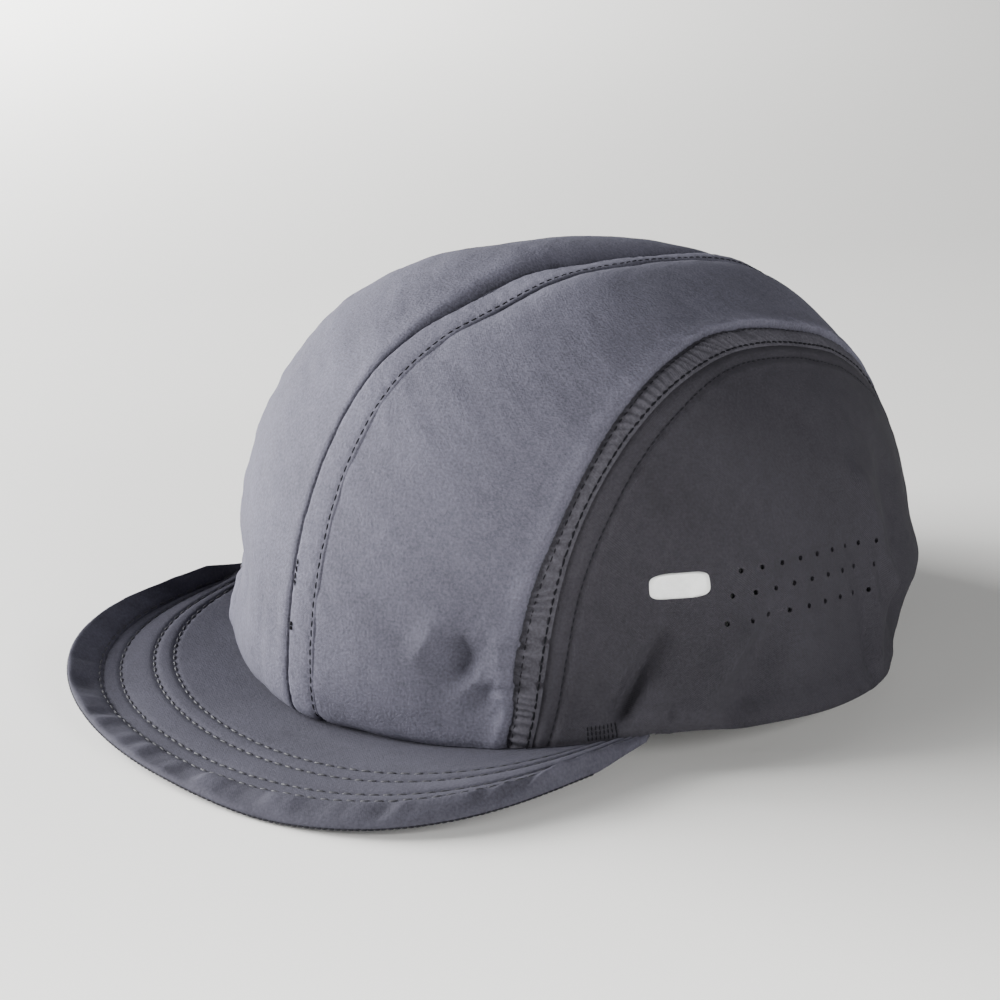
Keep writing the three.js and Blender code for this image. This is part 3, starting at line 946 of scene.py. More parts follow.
@dataclass(frozen=True)
class StitchRow:
    """A row of stitches that a Geometry Nodes tree lays along a path."""

    name: str
    pitch: float = 2.3
    length: float = 1.8
    thickness: float = 0.42
    wander_deg: float = 5.0
    seed: int = 7

    def tree(self) -> bpy.types.NodeTree:
        """Builds the tree, with its sizes as named inputs."""
        tree = bpy.data.node_groups.new(f"stitches_{self.name}", "GeometryNodeTree")
        sockets = [("Geometry", "Geometry"), ("Seed", "Int"), ("Material", "Material")]
        sockets[1:1] = [
            (name, "Float") for name in ("Pitch", "Stitch length", "Thread thickness", "Wander")
        ]
        for name, kind in sockets:
            tree.interface.new_socket(name, in_out="INPUT", socket_type=f"NodeSocket{kind}")
        tree.interface.new_socket("Geometry", in_out="OUTPUT", socket_type="NodeSocketGeometry")
        kinds = (
            "NodeGroupInput",
            "NodeGroupOutput",
            "GeometryNodeMeshToCurve",
            "GeometryNodeCurveToPoints",
            "GeometryNodeMeshUVSphere",
            "ShaderNodeCombineXYZ",
            "FunctionNodeAlignRotationToVector",
            "FunctionNodeRandomValue",
            "ShaderNodeVectorMath",
            "FunctionNodeRotateRotation",
            "GeometryNodeInstanceOnPoints",
            "GeometryNodeRealizeInstances",
            "GeometryNodeSetMaterial",
        )
        nodes = [tree.nodes.new(kind) for kind in kinds]
        given, made, curve, spread, ball, size, aim, sway, wander, turn, place, real, dress = nodes
        spread.mode = "LENGTH"
        aim.axis = "Z"
        sway.data_type = "FLOAT_VECTOR"
        wander.operation = "SCALE"
        turn.rotation_space = "LOCAL"
        for name, value in (("Segments", 8), ("Rings", 6), ("Radius", 0.5)):
            ball.inputs[name].default_value = value
        for source, output, target, slot in (
            (given, "Geometry", curve, "Mesh"),
            (curve, 0, spread, "Curve"),
            (given, "Pitch", spread, "Length"),
            (given, "Thread thickness", size, "X"),
            (given, "Thread thickness", size, "Y"),
            (given, "Stitch length", size, "Z"),
            (spread, "Tangent", aim, "Vector"),
            (given, "Seed", sway, "Seed"),
            (sway, 0, wander, 0),
            (given, "Wander", wander, "Scale"),
            (aim, 0, turn, 0),
            (wander, 0, turn, 1),
            (spread, "Points", place, "Points"),
            (ball, "Mesh", place, "Instance"),
            (turn, 0, place, "Rotation"),
            (size, 0, place, "Scale"),
            (place, 0, real, 0),
            (real, 0, dress, "Geometry"),
            (given, "Material", dress, "Material"),
            (dress, 0, made, 0),
        ):
            tree.links.new(source.outputs[output], target.inputs[slot])
        sway.inputs[0].default_value = (-1.0, -1.0, -1.0)
        sway.inputs[1].default_value = (1.0, 1.0, 1.0)
        return tree

    def lay(self, paths: Sequence[Array], finish: Finish) -> bpy.types.Object:
        """Lays the stitches along paths and leaves a plain mesh.

        Args:
            paths: places along each path, in millimetres.
            finish: the thread.

        Returns:
            One object with all the stitches of the row.
        """
        points, edges = [], []
        for path in paths:
            first = len(points)
            points.extend((path * MM).tolist())
            edges.extend((first + step, first + step + 1) for step in range(len(path) - 1))
        source = bpy.data.meshes.new(f"{self.name}_path")
        source.from_pydata(points, edges, [])
        guide = placed(f"{self.name}_path", source)
        tree = self.tree()
        modifier = guide.modifiers.new("stitches", "NODES")
        modifier.node_group = tree
        values = {
            "Pitch": self.pitch * MM,
            "Stitch length": self.length * MM,
            "Thread thickness": self.thickness * MM,
            "Wander": math.radians(self.wander_deg),
            "Seed": self.seed,
            "Material": finish.material(),
        }
        for item in tree.interface.items_tree:
            if item.in_out == "INPUT" and item.name in values:
                modifier[item.identifier] = values[item.name]
        mesh = applied(guide)
        mesh.name = self.name
        bpy.data.objects.remove(guide)
        shade_smooth(mesh)
        if not mesh.materials:
            mesh.materials.append(finish.material())
        return placed(self.name, mesh)


class Face:
    """Looks up places on the face of finished pieces."""

    search: float = 6.0

    def __init__(self, pieces: Sequence[bpy.types.Object]) -> None:
        """Reads the pieces' faces."""
        points, faces = [], []
        for piece in pieces:
            first = len(points)
            points.extend(vertex.co.copy() for vertex in piece.data.vertices)
            faces.extend([first + corner for corner in face.vertices] for face in piece.data.polygons)
        self.tree = BVHTree.FromPolygons(points, faces)

    def under(self, places: Array, normals: Array, lift: float) -> Array:
        """Drops places onto the face from outside.

        Args:
            places: places near the face, in millimetres.
            normals: outward directions.
            lift: how far above the face the result lies.

        Returns:
            The places on the face.
        """
        found = []
        for place, normal in zip(places, normals):
            start = Vector(((place + self.search * normal) * MM).tolist())
            hit, _, _, _ = self.tree.ray_cast(start, Vector((-normal).tolist()), 2 * self.search * MM)
            found.append(place if hit is None else np.array(hit) / MM + lift * normal)
        return np.array(found)


# The crown


@dataclass(frozen=True)
class Ridge:
    """A rise of the cloth along a seam, or a ditch where its depth is below zero.

    The last three values are added to the first three where the crown is soft.
    """

    depth: float
    half_width: float
    middle: float = 0.0
    depth_soft: float = 0.0
    width_soft: float = 0.0
    middle_soft: float = 0.0

    def at(self, distance: Array, soft: Array | float = 0.0) -> Array:
        """The relief at each distance from the seam, where soft runs from 0 to 1."""
        away = distance - self.middle - self.middle_soft * soft
        depth = self.depth + self.depth_soft * soft
        return depth * bell(away, self.half_width + self.width_soft * soft)


def raised(ridges: Sequence[Ridge], distance: Array, soft: Array | float = 0.0) -> Array:
    """The relief of several ridges along one seam."""
    return sum(ridge.at(distance, soft) for ridge in ridges)


HEM_TURN = (Ridge(-0.55, 0.9), Ridge(0.18, 2.2, 3.0))
PANEL_BESIDE_ARCH = (Ridge(0.65, 2.6, 2.4), Ridge(-1.6, 0.85))
PANEL_EDGE_DITCH = Ridge(-0.3, 0.8, 0.0, -0.5, 2.3)
PANEL_EDGE_SWELL = Ridge(0.0, 5.0, 9.0, 0.35)
PANEL_SEAM_SWELL = Ridge(0.2, 2.0, 2.4, 0.5, 3.0, 2.0)
PANEL_SEAM_DITCH = Ridge(-0.7, 0.5, 0.0, -0.75, 1.45)
STRIP_SEAM_DITCH = Ridge(-0.7, 0.45, 0.5, -0.75, 1.15)
STRIP_FREE_EDGE = (Ridge(-0.5, 0.35), Ridge(-0.25, 0.5, 1.2))
ARCH_STRIP_SEAM = Ridge(-1.1, 1.5)
ARCH_STRIP_FREE_EDGE = (Ridge(-0.5, 0.35), Ridge(-0.35, 0.5, 0.9))
SIDE_BESIDE_ARCH = Ridge(-0.6, 1.0)
SIDE_ROW_DITCH = Ridge(-0.38, 0.7)
SIDE_ROW_LIP = Ridge(0.2, 1.0, 1.9)


@dataclass(frozen=True)
class Drift:
    """One layer of the slight unevenness of worn cloth, with its length across and along."""

    depth: float
    across_mm: float
    along_mm: float
    start: tuple[float, float] = (0.0, 0.0)
    lean: float = 0.0

    def at(self, noise: Unevenness, across: Array, along: Array) -> Array:
        """The relief of the layer.

        Args:
            noise: the noise that it reads.
            across: distance of each place across the cloth.
            along: distance of each place along it.

        Returns:
            The relief at each place.
        """
        x = (across + self.lean * along) / self.across_mm + self.start[0]
        y = (along - self.lean * across) / self.along_mm + self.start[1]
        return self.depth * noise.at(x, y)


COARSE_DRIFTS = (
    Drift(0.38, 26.0, 22.0, (40.0, 7.0)),
    Drift(0.15, 11.0, 13.0, (3.0, 51.0)),
    Drift(0.13, 5.5, 26.0, (9.0, 21.0), 0.6),
)
FINE_DRIFTS = (Drift(0.05, 1.7, 3.6, lean=0.5), Drift(0.035, 1.1, 1.3))
FRONT_RIPPLE = Drift(1.0, 3.4, 30.0, (60.0, 0.0))
RIPPLE_LEVEL = Ridge(0.3, 15.0, 16.0)
PEAK_DRIFT = Drift(0.12, 17.0, 11.0)
PEAK_EDGE_WAVES = (Drift(0.75, 8.0, 1.0, (0.0, 13.0)), Drift(0.5, 3.8, 1.0, (0.0, 37.0)))


@dataclass(frozen=True)
class SeamGathers:
    """Short gathers across a seam, which lean along it for each millimetre away from it."""

    reach: float
    pitch: float
    depth: float
    lean: float = 0.0
    length_mm: float = 14.0
    start: float = 17.0

    def at(self, noise: Unevenness, along: Array, distance: Array) -> Array:
        """The relief at each distance along the seam and away from it."""
        leaning = (along + self.lean * distance) / self.pitch
        wave = noise.at(leaning, distance / self.length_mm + self.start)
        return self.depth * bell(distance, self.reach) * wave


ARCH_GATHERS = SeamGathers(5.0, 4.2, 0.3, 0.5)
EDGE_GATHERS = SeamGathers(6.0, 6.5, 0.22, 0.8)
SEAM_GATHERS = SeamGathers(5.0, 7.0, 0.16, 0.6)
SIDE_GATHERS = SeamGathers(3.5, 3.4, 0.16)


@dataclass(frozen=True)
class StripGathers:
    """Close ridges across a felled strip, which lean along it for each millimetre across."""

    pitch: float
    depth: float
    lean: float
    wander: float = 1.1
    wander_mm: tuple[float, float] = (6.5, 9.0)
    wander_start: float = 3.0
    strength: float = 0.62
    strength_mm: float = 15.0
    strength_start: float = 5.0

    def at(self, noise: Unevenness, along: Array, across: Array, width: Array) -> Array:
        """The relief of the ridges.

        Args:
            noise: the noise that they follow.
            along: distance along the strip.
            across: distance across it.
            width: its width.

        Returns:
            The relief at each place.
        """
        along_wander, across_wander = self.wander_mm
        wander = noise.at(along / along_wander, across / across_wander + self.wander_start)
        phase = (along + self.lean * across) / self.pitch + self.wander * wander
        swing = noise.at(along / self.strength_mm, across * 0 + self.strength_start)
        strength = self.strength + (1 - self.strength) * swing
        return self.depth * domed(across, width) * strength * np.sin(2 * np.pi * phase)


CENTRE_STRIP_GATHERS = StripGathers(5.2, 0.13, 1.0)
ARCH_STRIP_GATHERS = StripGathers(2.5, 0.42, 0.3)


@dataclass(frozen=True)
class ClothGrid:
    """A traced grid of places on the crown."""

    angle: Array
    points: Array
    height: Array

    @property
    def across(self) -> Array:
        """Distance walked over the lanes, from the first one."""
        return lengths_along(self.points, 0)

    @property
    def along(self) -> Array:
        """Distance walked along each lane, from the front."""
        return lengths_along(self.points, 1)

    @property
    def rearward(self) -> Array:
        """How far to the rear each place lies."""
        return self.points[..., 1]


@dataclass
class Crown:
    """The sewn crown: four panels, the felled seams between them and their threads."""

    form: CrownForm = field(default_factory=CrownForm)
    offset: float = 13.035
    cloth: float = 1.2
    strip_cloth: float = 1.35
    centre: tuple[float, float, float] = (0.0, 13.0, 35.0)
    runs: int = 430
    strip_runs: int = 560
    arch_runs: int = 700
    panel_lanes: int = 62
    strip_near_seam: tuple[float, ...] = (-0.9, -0.5, -0.1, 0.3, 0.8, 1.3, 1.9)
    strip_shares: tuple[float, ...] = (0.3, 0.42, 0.54, 0.65, 0.74, 0.81, 0.87, 0.92, 0.96, 0.99, 1.01)
    arch_shares: tuple[float, ...] = (
        -0.2, -0.1, 0.0, 0.08, 0.17, 0.27, 0.38, 0.5, 0.61, 0.72, 0.82, 0.9, 0.96, 1.0, 1.03,
    )
    side_columns: int = 330
    side_rows: int = 110
    side_crowding: float = 1.5
    overlap: float = 0.9
    seam_half_gap: float = 0.25
    pucker_heights: tuple[float, ...] = (24.6, 19.8, 14.4)
    pucker_depths: tuple[float, ...] = (-0.42, -0.2, -0.5)
    pucker_width: float = 1.05
    pucker_lip: tuple[float, float, float] = (0.7, 2.4, 1.4)
    pucker_reach: float = 6.0
    pucker_ends: tuple[float, float] = (0.3, 1.2)
    seam_clear: float = 1.8
    soft_from: tuple[float, float] = (-55.0, 50.0)
    ripple_ahead: tuple[float, float] = (-10.0, 40.0)
    strip_rise: float = 0.16
    strip_dome: tuple[float, float] = (0.2, 0.4)
    arch_strip_rise: float = 0.1
    arch_seam_share: float = 0.08
    panel_end: tuple[float, float] = (-1.0, 1.6)
    strip_end: tuple[float, float] = (-1.1, 1.8)
    drift_rise: tuple[float, float] = (0.8, 0.9)
    seam_end_rise: float = 2.2
    side_softness: float = 0.8
    strip_softness: float = 0.7
    row_step: float = 0.6
    row_trim: float = 0.006
    row_lift: float = 0.02
    row_lines: tuple[float, float, float] = (-1.1, 0.7, -0.6)
    ditch_line: float = 0.9
    tack_deg: float = 51.9
    tack_step_deg: float = 0.62
    tack_count: int = 8
    tack_shares: tuple[float, float] = (0.0006, 0.0036)
    noise: Unevenness = field(default_factory=lambda: Unevenness(11))
    fine_noise: Unevenness = field(default_factory=lambda: Unevenness(23))

    def __post_init__(self) -> None:
        """Makes the tracer of the seams."""
        self.tracer = LaneTracer(self.form)
        self.pieces: list[bpy.types.Object] = []

    def points(self, angle: Array, share: Array) -> tuple[Array, Array]:
        """Places in the row's frame, and their heights above the hem."""
        place, height = self.form.place(angle, share)
        return place + np.array([0.0, self.offset, 0.0]), height

    def traced(self, lanes: Sequence[PlanLine], sides: Array, runs: int) -> ClothGrid:
        """A grid of places along lanes."""
        angle, share = self.tracer.trace(lanes, sides, runs)
        return ClothGrid(angle, *self.points(angle, share))

    def softness(self, points: Array) -> Array:
        """The slight unevenness of cloth that has been worn and laid down."""
        across = points[..., 0] + self.drift_rise[0] * points[..., 2]
        along = points[..., 1] + self.drift_rise[1] * points[..., 2]
        layers = [(self.noise, drift) for drift in COARSE_DRIFTS]
        layers += [(self.fine_noise, drift) for drift in FINE_DRIFTS]
        return sum(drift.at(noise, across, along) for noise, drift in layers)

    def front_puckers(self, height: Array, distance: Array, reach: float) -> Array:
        """The few deeper puckers that cross the arch seam near the front hem.

        Args:
            height: height above the hem.
            distance: distance from the seam.
            reach: how far they reach from the seam.

        Returns:
            The relief.
        """
        relief = 0 * height
        share, below, lip_width = self.pucker_lip
        for level, depth in zip(self.pucker_heights, self.pucker_depths):
            crease = bell(height - level, self.pucker_width)
            lip = bell(height - level + below, lip_width)
            relief = relief + depth * (crease - share * lip)
        return relief * bell(distance, reach)

    def seam_end(self, height: Array, distance: Array, depth: float, reach: float) -> Array:
        """How the cloth dips where a seam runs into the hem."""
        return depth * np.exp(-((height / self.seam_end_rise) ** 2) - ((distance / reach) ** 2))

    def front_ripple(self, grid: ClothGrid) -> Array:
        """The low ripple of the wearer's right panel, near the front hem."""
        shown = RIPPLE_LEVEL.at(grid.height) * ramp(-grid.rearward, *self.ripple_ahead)
        return shown * FRONT_RIPPLE.at(self.noise, grid.across, grid.height)

    def pressed(self, grid: ClothGrid, folds: Sequence[Fold]) -> ClothGrid:
        """Presses folds straight into a grid of places.

        Args:
            grid: the grid.
            folds: the folds.

        Returns:
            The grid with its places moved.
        """
        radius = self.form.mean_radius
        depth = sum(fold.depth_at(radius * grid.angle, grid.height, radius) for fold in folds)
        moved = grid.points + outward(grid.points, np.array(self.centre)) * depth[..., None]
        return replace(grid, points=moved)

    def shell(
        self, name: str, points: Array, relief: Array, thickness: float, cloth_mm: Array
    ) -> ClothShell:
        """Raises a grid by its relief and gives it a thickness."""
        normal = outward(points, np.array(self.centre))
        outer, inner = points + normal * relief[..., None], points - normal * thickness
        return ClothShell(name, outer, inner, cloth_mm, relief)

    def finish_piece(self, shell: ClothShell, finish: Finish, node: str) -> None:
        """Builds one piece of the crown and hands it over."""
        piece = shell.build(finish.material())
        self.pieces.append(piece)
        hand_over(piece, [node])

    def build_top_panel(self, word: str, side: int) -> None:
        """Builds the panel between the centre seam and the arch seam on one side."""
        seam = straight(self.seam_half_gap)
        edge = beside(CENTRE_EDGE.across, -self.overlap) if side > 0 else seam
        shares = np.linspace(0, 1, self.panel_lanes)
        lanes = [between(edge, ARCH_SEAM.across, share) for share in shares]
        grid = self.traced(lanes, np.full(len(lanes), side), self.runs)
        if side > 0:
            grid = self.pressed(grid, FRONT_PRESSES)
        from_centre, along, height = grid.across, grid.along, grid.height
        from_arch = from_centre[-1:] - from_centre
        soft = ramp(grid.rearward, *self.soft_from)
        relief = self.softness(grid.points) + raised(HEM_TURN, height)
        relief += raised(PANEL_BESIDE_ARCH, from_arch)
        clear = 1 - bell(from_arch, self.seam_clear)
        relief += ARCH_GATHERS.at(self.fine_noise, along, from_arch) * clear
        at_seam, past_seam = self.pucker_ends
        puckers = self.front_puckers(height, from_arch, self.pucker_reach)
        relief += puckers * (grid.rearward < 0) * (at_seam + past_seam * clear)
        if side > 0:
            relief += PANEL_EDGE_DITCH.at(from_centre, soft)
            relief += PANEL_EDGE_SWELL.at(from_centre, soft)
            relief += EDGE_GATHERS.at(self.fine_noise, along, from_centre)
            relief += self.seam_end(height, from_centre, *self.panel_end)
        else:
            relief += PANEL_SEAM_SWELL.at(from_centre, soft)
            relief += PANEL_SEAM_DITCH.at(from_centre, soft)
            relief += SEAM_GATHERS.at(self.fine_noise, along, from_centre)
            relief += self.front_ripple(grid)
        cloth_mm = np.stack([along, from_centre], -1)
        shell = self.shell(f"cap_top_panel_{word}", grid.points, relief, self.cloth, cloth_mm)
        self.finish_piece(shell, Finish.CROWN, f"crown_panel_{word}")

    def build_centre_strip(self) -> None:
        """Builds the felled strip over the middle seam."""
        middle = straight(0.0)
        lanes = [straight(abs(place)) for place in self.strip_near_seam]
        lanes += [between(middle, CENTRE_EDGE.across, share) for share in self.strip_shares]
        sides = np.concatenate([np.sign(self.strip_near_seam), np.ones(len(self.strip_shares))])
        grid = self.traced(lanes, sides, self.strip_runs)
        across, along, height = grid.across, grid.along, grid.height
        width = across[-1:]
        to_edge = width - across
        soft = ramp(grid.rearward, *self.soft_from)
        relief = self.softness(grid.points) + raised(HEM_TURN, height) + self.strip_rise
        low, gain = self.strip_dome
        relief += (low + gain * soft) * domed(across, width)
        relief += STRIP_SEAM_DITCH.at(across, soft)
        relief += raised(STRIP_FREE_EDGE, to_edge)
        relief += CENTRE_STRIP_GATHERS.at(self.noise, along, across, width)
        relief += self.seam_end(height, to_edge, *self.strip_end)
        cloth_mm = np.stack([along, across], -1)
        shell = self.shell("cap_centre_strip", grid.points, relief, self.strip_cloth, cloth_mm)
        self.finish_piece(shell, Finish.CROWN, "centre_seam_strip")

    def build_arch_strip(self, word: str, side: int) -> None:
        """Builds the puckered felled strip along one arch."""
        lanes = [between(ARCH_SEAM.across, ARCH_STITCH.across, share) for share in self.arch_shares]
        grid = self.traced(lanes, np.full(len(lanes), side), self.arch_runs)
        across, along, height = grid.across, grid.along, grid.height
        width = across[-1:]
        to_edge = width - across
        relief = self.strip_softness * self.softness(grid.points) + raised(HEM_TURN, height)
        relief = relief + self.arch_strip_rise
        relief += ARCH_STRIP_SEAM.at(across - self.arch_seam_share * width)
        relief += raised(ARCH_STRIP_FREE_EDGE, to_edge)
        relief += ARCH_STRIP_GATHERS.at(self.noise, along, across, width)
        relief += self.front_puckers(height, 0 * height, 1.0) * (grid.rearward < 0)
        cloth_mm = np.stack([along, across], -1)
        shell = self.shell(f"cap_arch_strip_{word}", grid.points, relief, self.strip_cloth, cloth_mm)
        self.finish_piece(shell, Finish.STRIP, f"arch_seam_strip_{word}")

    def build_side_panel(self, word: str, side: int) -> bpy.types.Object:
        """Builds the arched panel over one ear."""
        arch = beside(ARCH_STITCH.across, -self.overlap)
        angle, share = self.tracer.trace([arch], [side], self.side_columns)
        top_angle, top_share = angle[0], share[0]
        fractions = np.linspace(0, 1, self.side_columns)
        hem_angle = top_angle[0] + (top_angle[-1] - top_angle[0]) * fractions
        keep = slice(1, -1)
        rows = np.linspace(0, 1, self.side_rows)[None, :]
        angle = hem_angle[keep, None] * (1 - rows) + top_angle[keep, None] * rows
        share = top_share[keep, None] * rows**self.side_crowding
        grid = ClothGrid(angle, *self.points(angle, share))
        if side > 0:
            grid = self.pressed(grid, SIDE_PRESSES)
        from_arch, from_third = (
            gap_to(grid.points, self.traced([line.across], [side], self.arch_runs).points[0])
            for line in (ARCH_STITCH, ARCH_THIRD_ROW)
        )
        round_mm = self.form.mean_radius * angle
        relief = self.softness(grid.points) * self.side_softness + raised(HEM_TURN, grid.height)
        relief += SIDE_BESIDE_ARCH.at(from_arch) + SIDE_ROW_DITCH.at(from_third)
        relief += SIDE_ROW_LIP.at(from_third)
        relief += SIDE_GATHERS.at(self.fine_noise, round_mm + grid.height, from_third)
        cloth_mm = np.stack([round_mm, grid.along], -1)
        shell = self.shell(f"cap_side_panel_{word}", grid.points, relief, self.cloth, cloth_mm)
        piece = shell.build(Finish.SIDE.material())
        self.pieces.append(piece)
        return piece

    def row_path(self, line: PlanLine, side: int, face: Face, lift: float, runs: int = 300) -> Array:
        """Places of a stitch row on the finished cloth.

        Args:
            line: the row in plan.
            side: 1 on the wearer's left and -1 on the right.
            face: the finished cloth.
            lift: how far the thread's middle lies above the cloth.
            runs: how many places.

        Returns:
            The places, from the front to the rear.
        """
        lanes = [beside(line, step) for step in (-self.row_step, 0.0, self.row_step)]
        points = self.traced(lanes, np.full(len(lanes), side), runs).points
        normal = outward(points, np.array(self.centre))[1]
        ends = max(1, int(runs * self.row_trim))
        return face.under(points[1], normal, lift)[ends:-ends]

    def build_threads(self) -> None:
        """Lays the stitch rows of the crown."""
        face = Face(self.pieces)
        centre, seam, edge = self.row_lines
        row = StitchRow("cap_centre_stitches", pitch=2.4, length=1.75, thickness=0.46, seed=3)
        middle = self.row_path(beside(CENTRE_EDGE.across, centre), 1, face, self.row_lift)
        hand_over(row.lay([middle], Finish.DARK_THREAD))
        rows = (
            ("seam", beside(ARCH_SEAM.across, seam), 2.3, 1.6, 0.38, Finish.GREY_THREAD),
            ("edge", beside(ARCH_STITCH.across, edge), 2.35, 2.15, 0.58, Finish.DARK_THREAD),
            ("third", ARCH_THIRD_ROW.across, 2.0, 1.5, 0.40, Finish.GREY_THREAD),
        )
        for name, line, pitch, length, thickness, thread in rows:
            paths = [self.row_path(line, side, face, self.row_lift) for side in (1, -1)]
            row = StitchRow(f"cap_arch_{name}_stitches", pitch, length, thickness, seed=5)
            hand_over(row.lay(paths, thread))
        self.build_thread_ends(face)
        self.build_tacks(face)

    def build_thread_ends(self, face: Face) -> None:
        """Lays the knot and the short run of thread that show in the middle seam."""
        ditch = self.row_path(straight(self.ditch_line), 1, face, lift=0.12, runs=900)
        front = ditch[: len(ditch) // 2]
        for word, low, high, pitch, length, thickness in (
            ("knot", 26.0, 27.8, 0.7, 1.1, 0.8),
            ("run", 37.5, 43.0, 1.5, 1.7, 0.4),
        ):
            path = front[(front[:, 2] > low) & (front[:, 2] < high)]
            row = StitchRow(f"cap_thread_{word}", pitch, length, thickness, wander_deg=22.0, seed=9)
            hand_over(row.lay([path], Finish.DARK_THREAD))

    def build_tacks(self, face: Face) -> None:
        """Lays the short upright tack stitches over the hem, behind each corner of the peak."""
        paths = []
        for side in (1, -1):
            for number in range(self.tack_count):
                angle = side * np.radians(self.tack_deg + number * self.tack_step_deg)
                share = np.linspace(*self.tack_shares, 4)[:, None]
                around = np.array([[angle - STEP_ROUND, angle, angle + STEP_ROUND]])
                points, _ = self.points(around + 0 * share, share + 0 * around)
                normal = outward(points, np.array(self.centre))[:, 1]
                paths.append(face.under(points[:, 1], normal, lift=0.05))
        row = StitchRow(
            "cap_tack_stitches", pitch=0.9, length=1.1, thickness=0.36, wander_deg=8.0, seed=13
        )
        hand_over(row.lay(paths, Finish.DARK_THREAD))

    def build(self) -> None:
        """Builds every piece of the crown."""
        sides = (("left", 1), ("right", -1))
        for word, side in sides:
            self.build_top_panel(word, side)
            self.build_arch_strip(word, side)
        self.build_centre_strip()
        for word, side in sides:
            panel = self.build_side_panel(word, side)
            AirHoles(self).punch(panel, side)
            hand_over(panel, [f"side_panel_{word}"])
        self.build_threads()


@dataclass
class AirHoles:
    """The punched air holes at the rear of a side panel."""

    crown: Crown
    diameter: float = 1.3
    pitch_deg: float = 4.4
    rows: tuple[tuple[float, float], ...] = ((0.145, 79.6), (0.112, 77.4), (0.079, 75.6))
    count: int = 9
    sides: int = 14
    depth: float = 8.0

    def punch(self, panel: bpy.types.Object, side: int) -> None:
        """Cuts the holes through a panel.

        Args:
            panel: the closed panel.
            side: 1 on the wearer's left and -1 on the right.
        """
        pins = bmesh.new()
        for share, first in self.rows:
            for hole in range(self.count):
                angle = side * math.radians(first + hole * self.pitch_deg)
                around = np.array([[angle - STEP_ROUND] * 2, [angle + STEP_ROUND] * 2])
                level = np.array([[share - STEP_UP, share + STEP_UP]] * 2)
                points, _ = self.crown.points(around, level)
                normal = Vector(outward(points, np.array(self.crown.centre))[0, 0].tolist())
                radius = self.diameter / 2 * MM
                made = bmesh.ops.create_cone(
                    pins, cap_ends=True, segments=self.sides, radius1=radius, radius2=radius,
                    depth=self.depth * MM,
                )
                turn = Vector((0, 0, 1)).rotation_difference(normal).to_matrix().to_4x4()
                turn.translation = Vector((points.mean((0, 1)) * MM).tolist())
                bmesh.ops.transform(pins, matrix=turn, verts=made["verts"])
        mesh = bpy.data.meshes.new("pins")
        pins.to_mesh(mesh)
        pins.free()
        cutter = placed("pins", mesh)
        cut = panel.modifiers.new("air holes", "BOOLEAN")
        cut.operation = "DIFFERENCE"
        cut.object = cutter
        cut.solver = "MANIFOLD"
        done = applied(panel)
        panel.modifiers.remove(cut)
        panel.data = done
        bpy.data.objects.remove(cutter)


# The peak


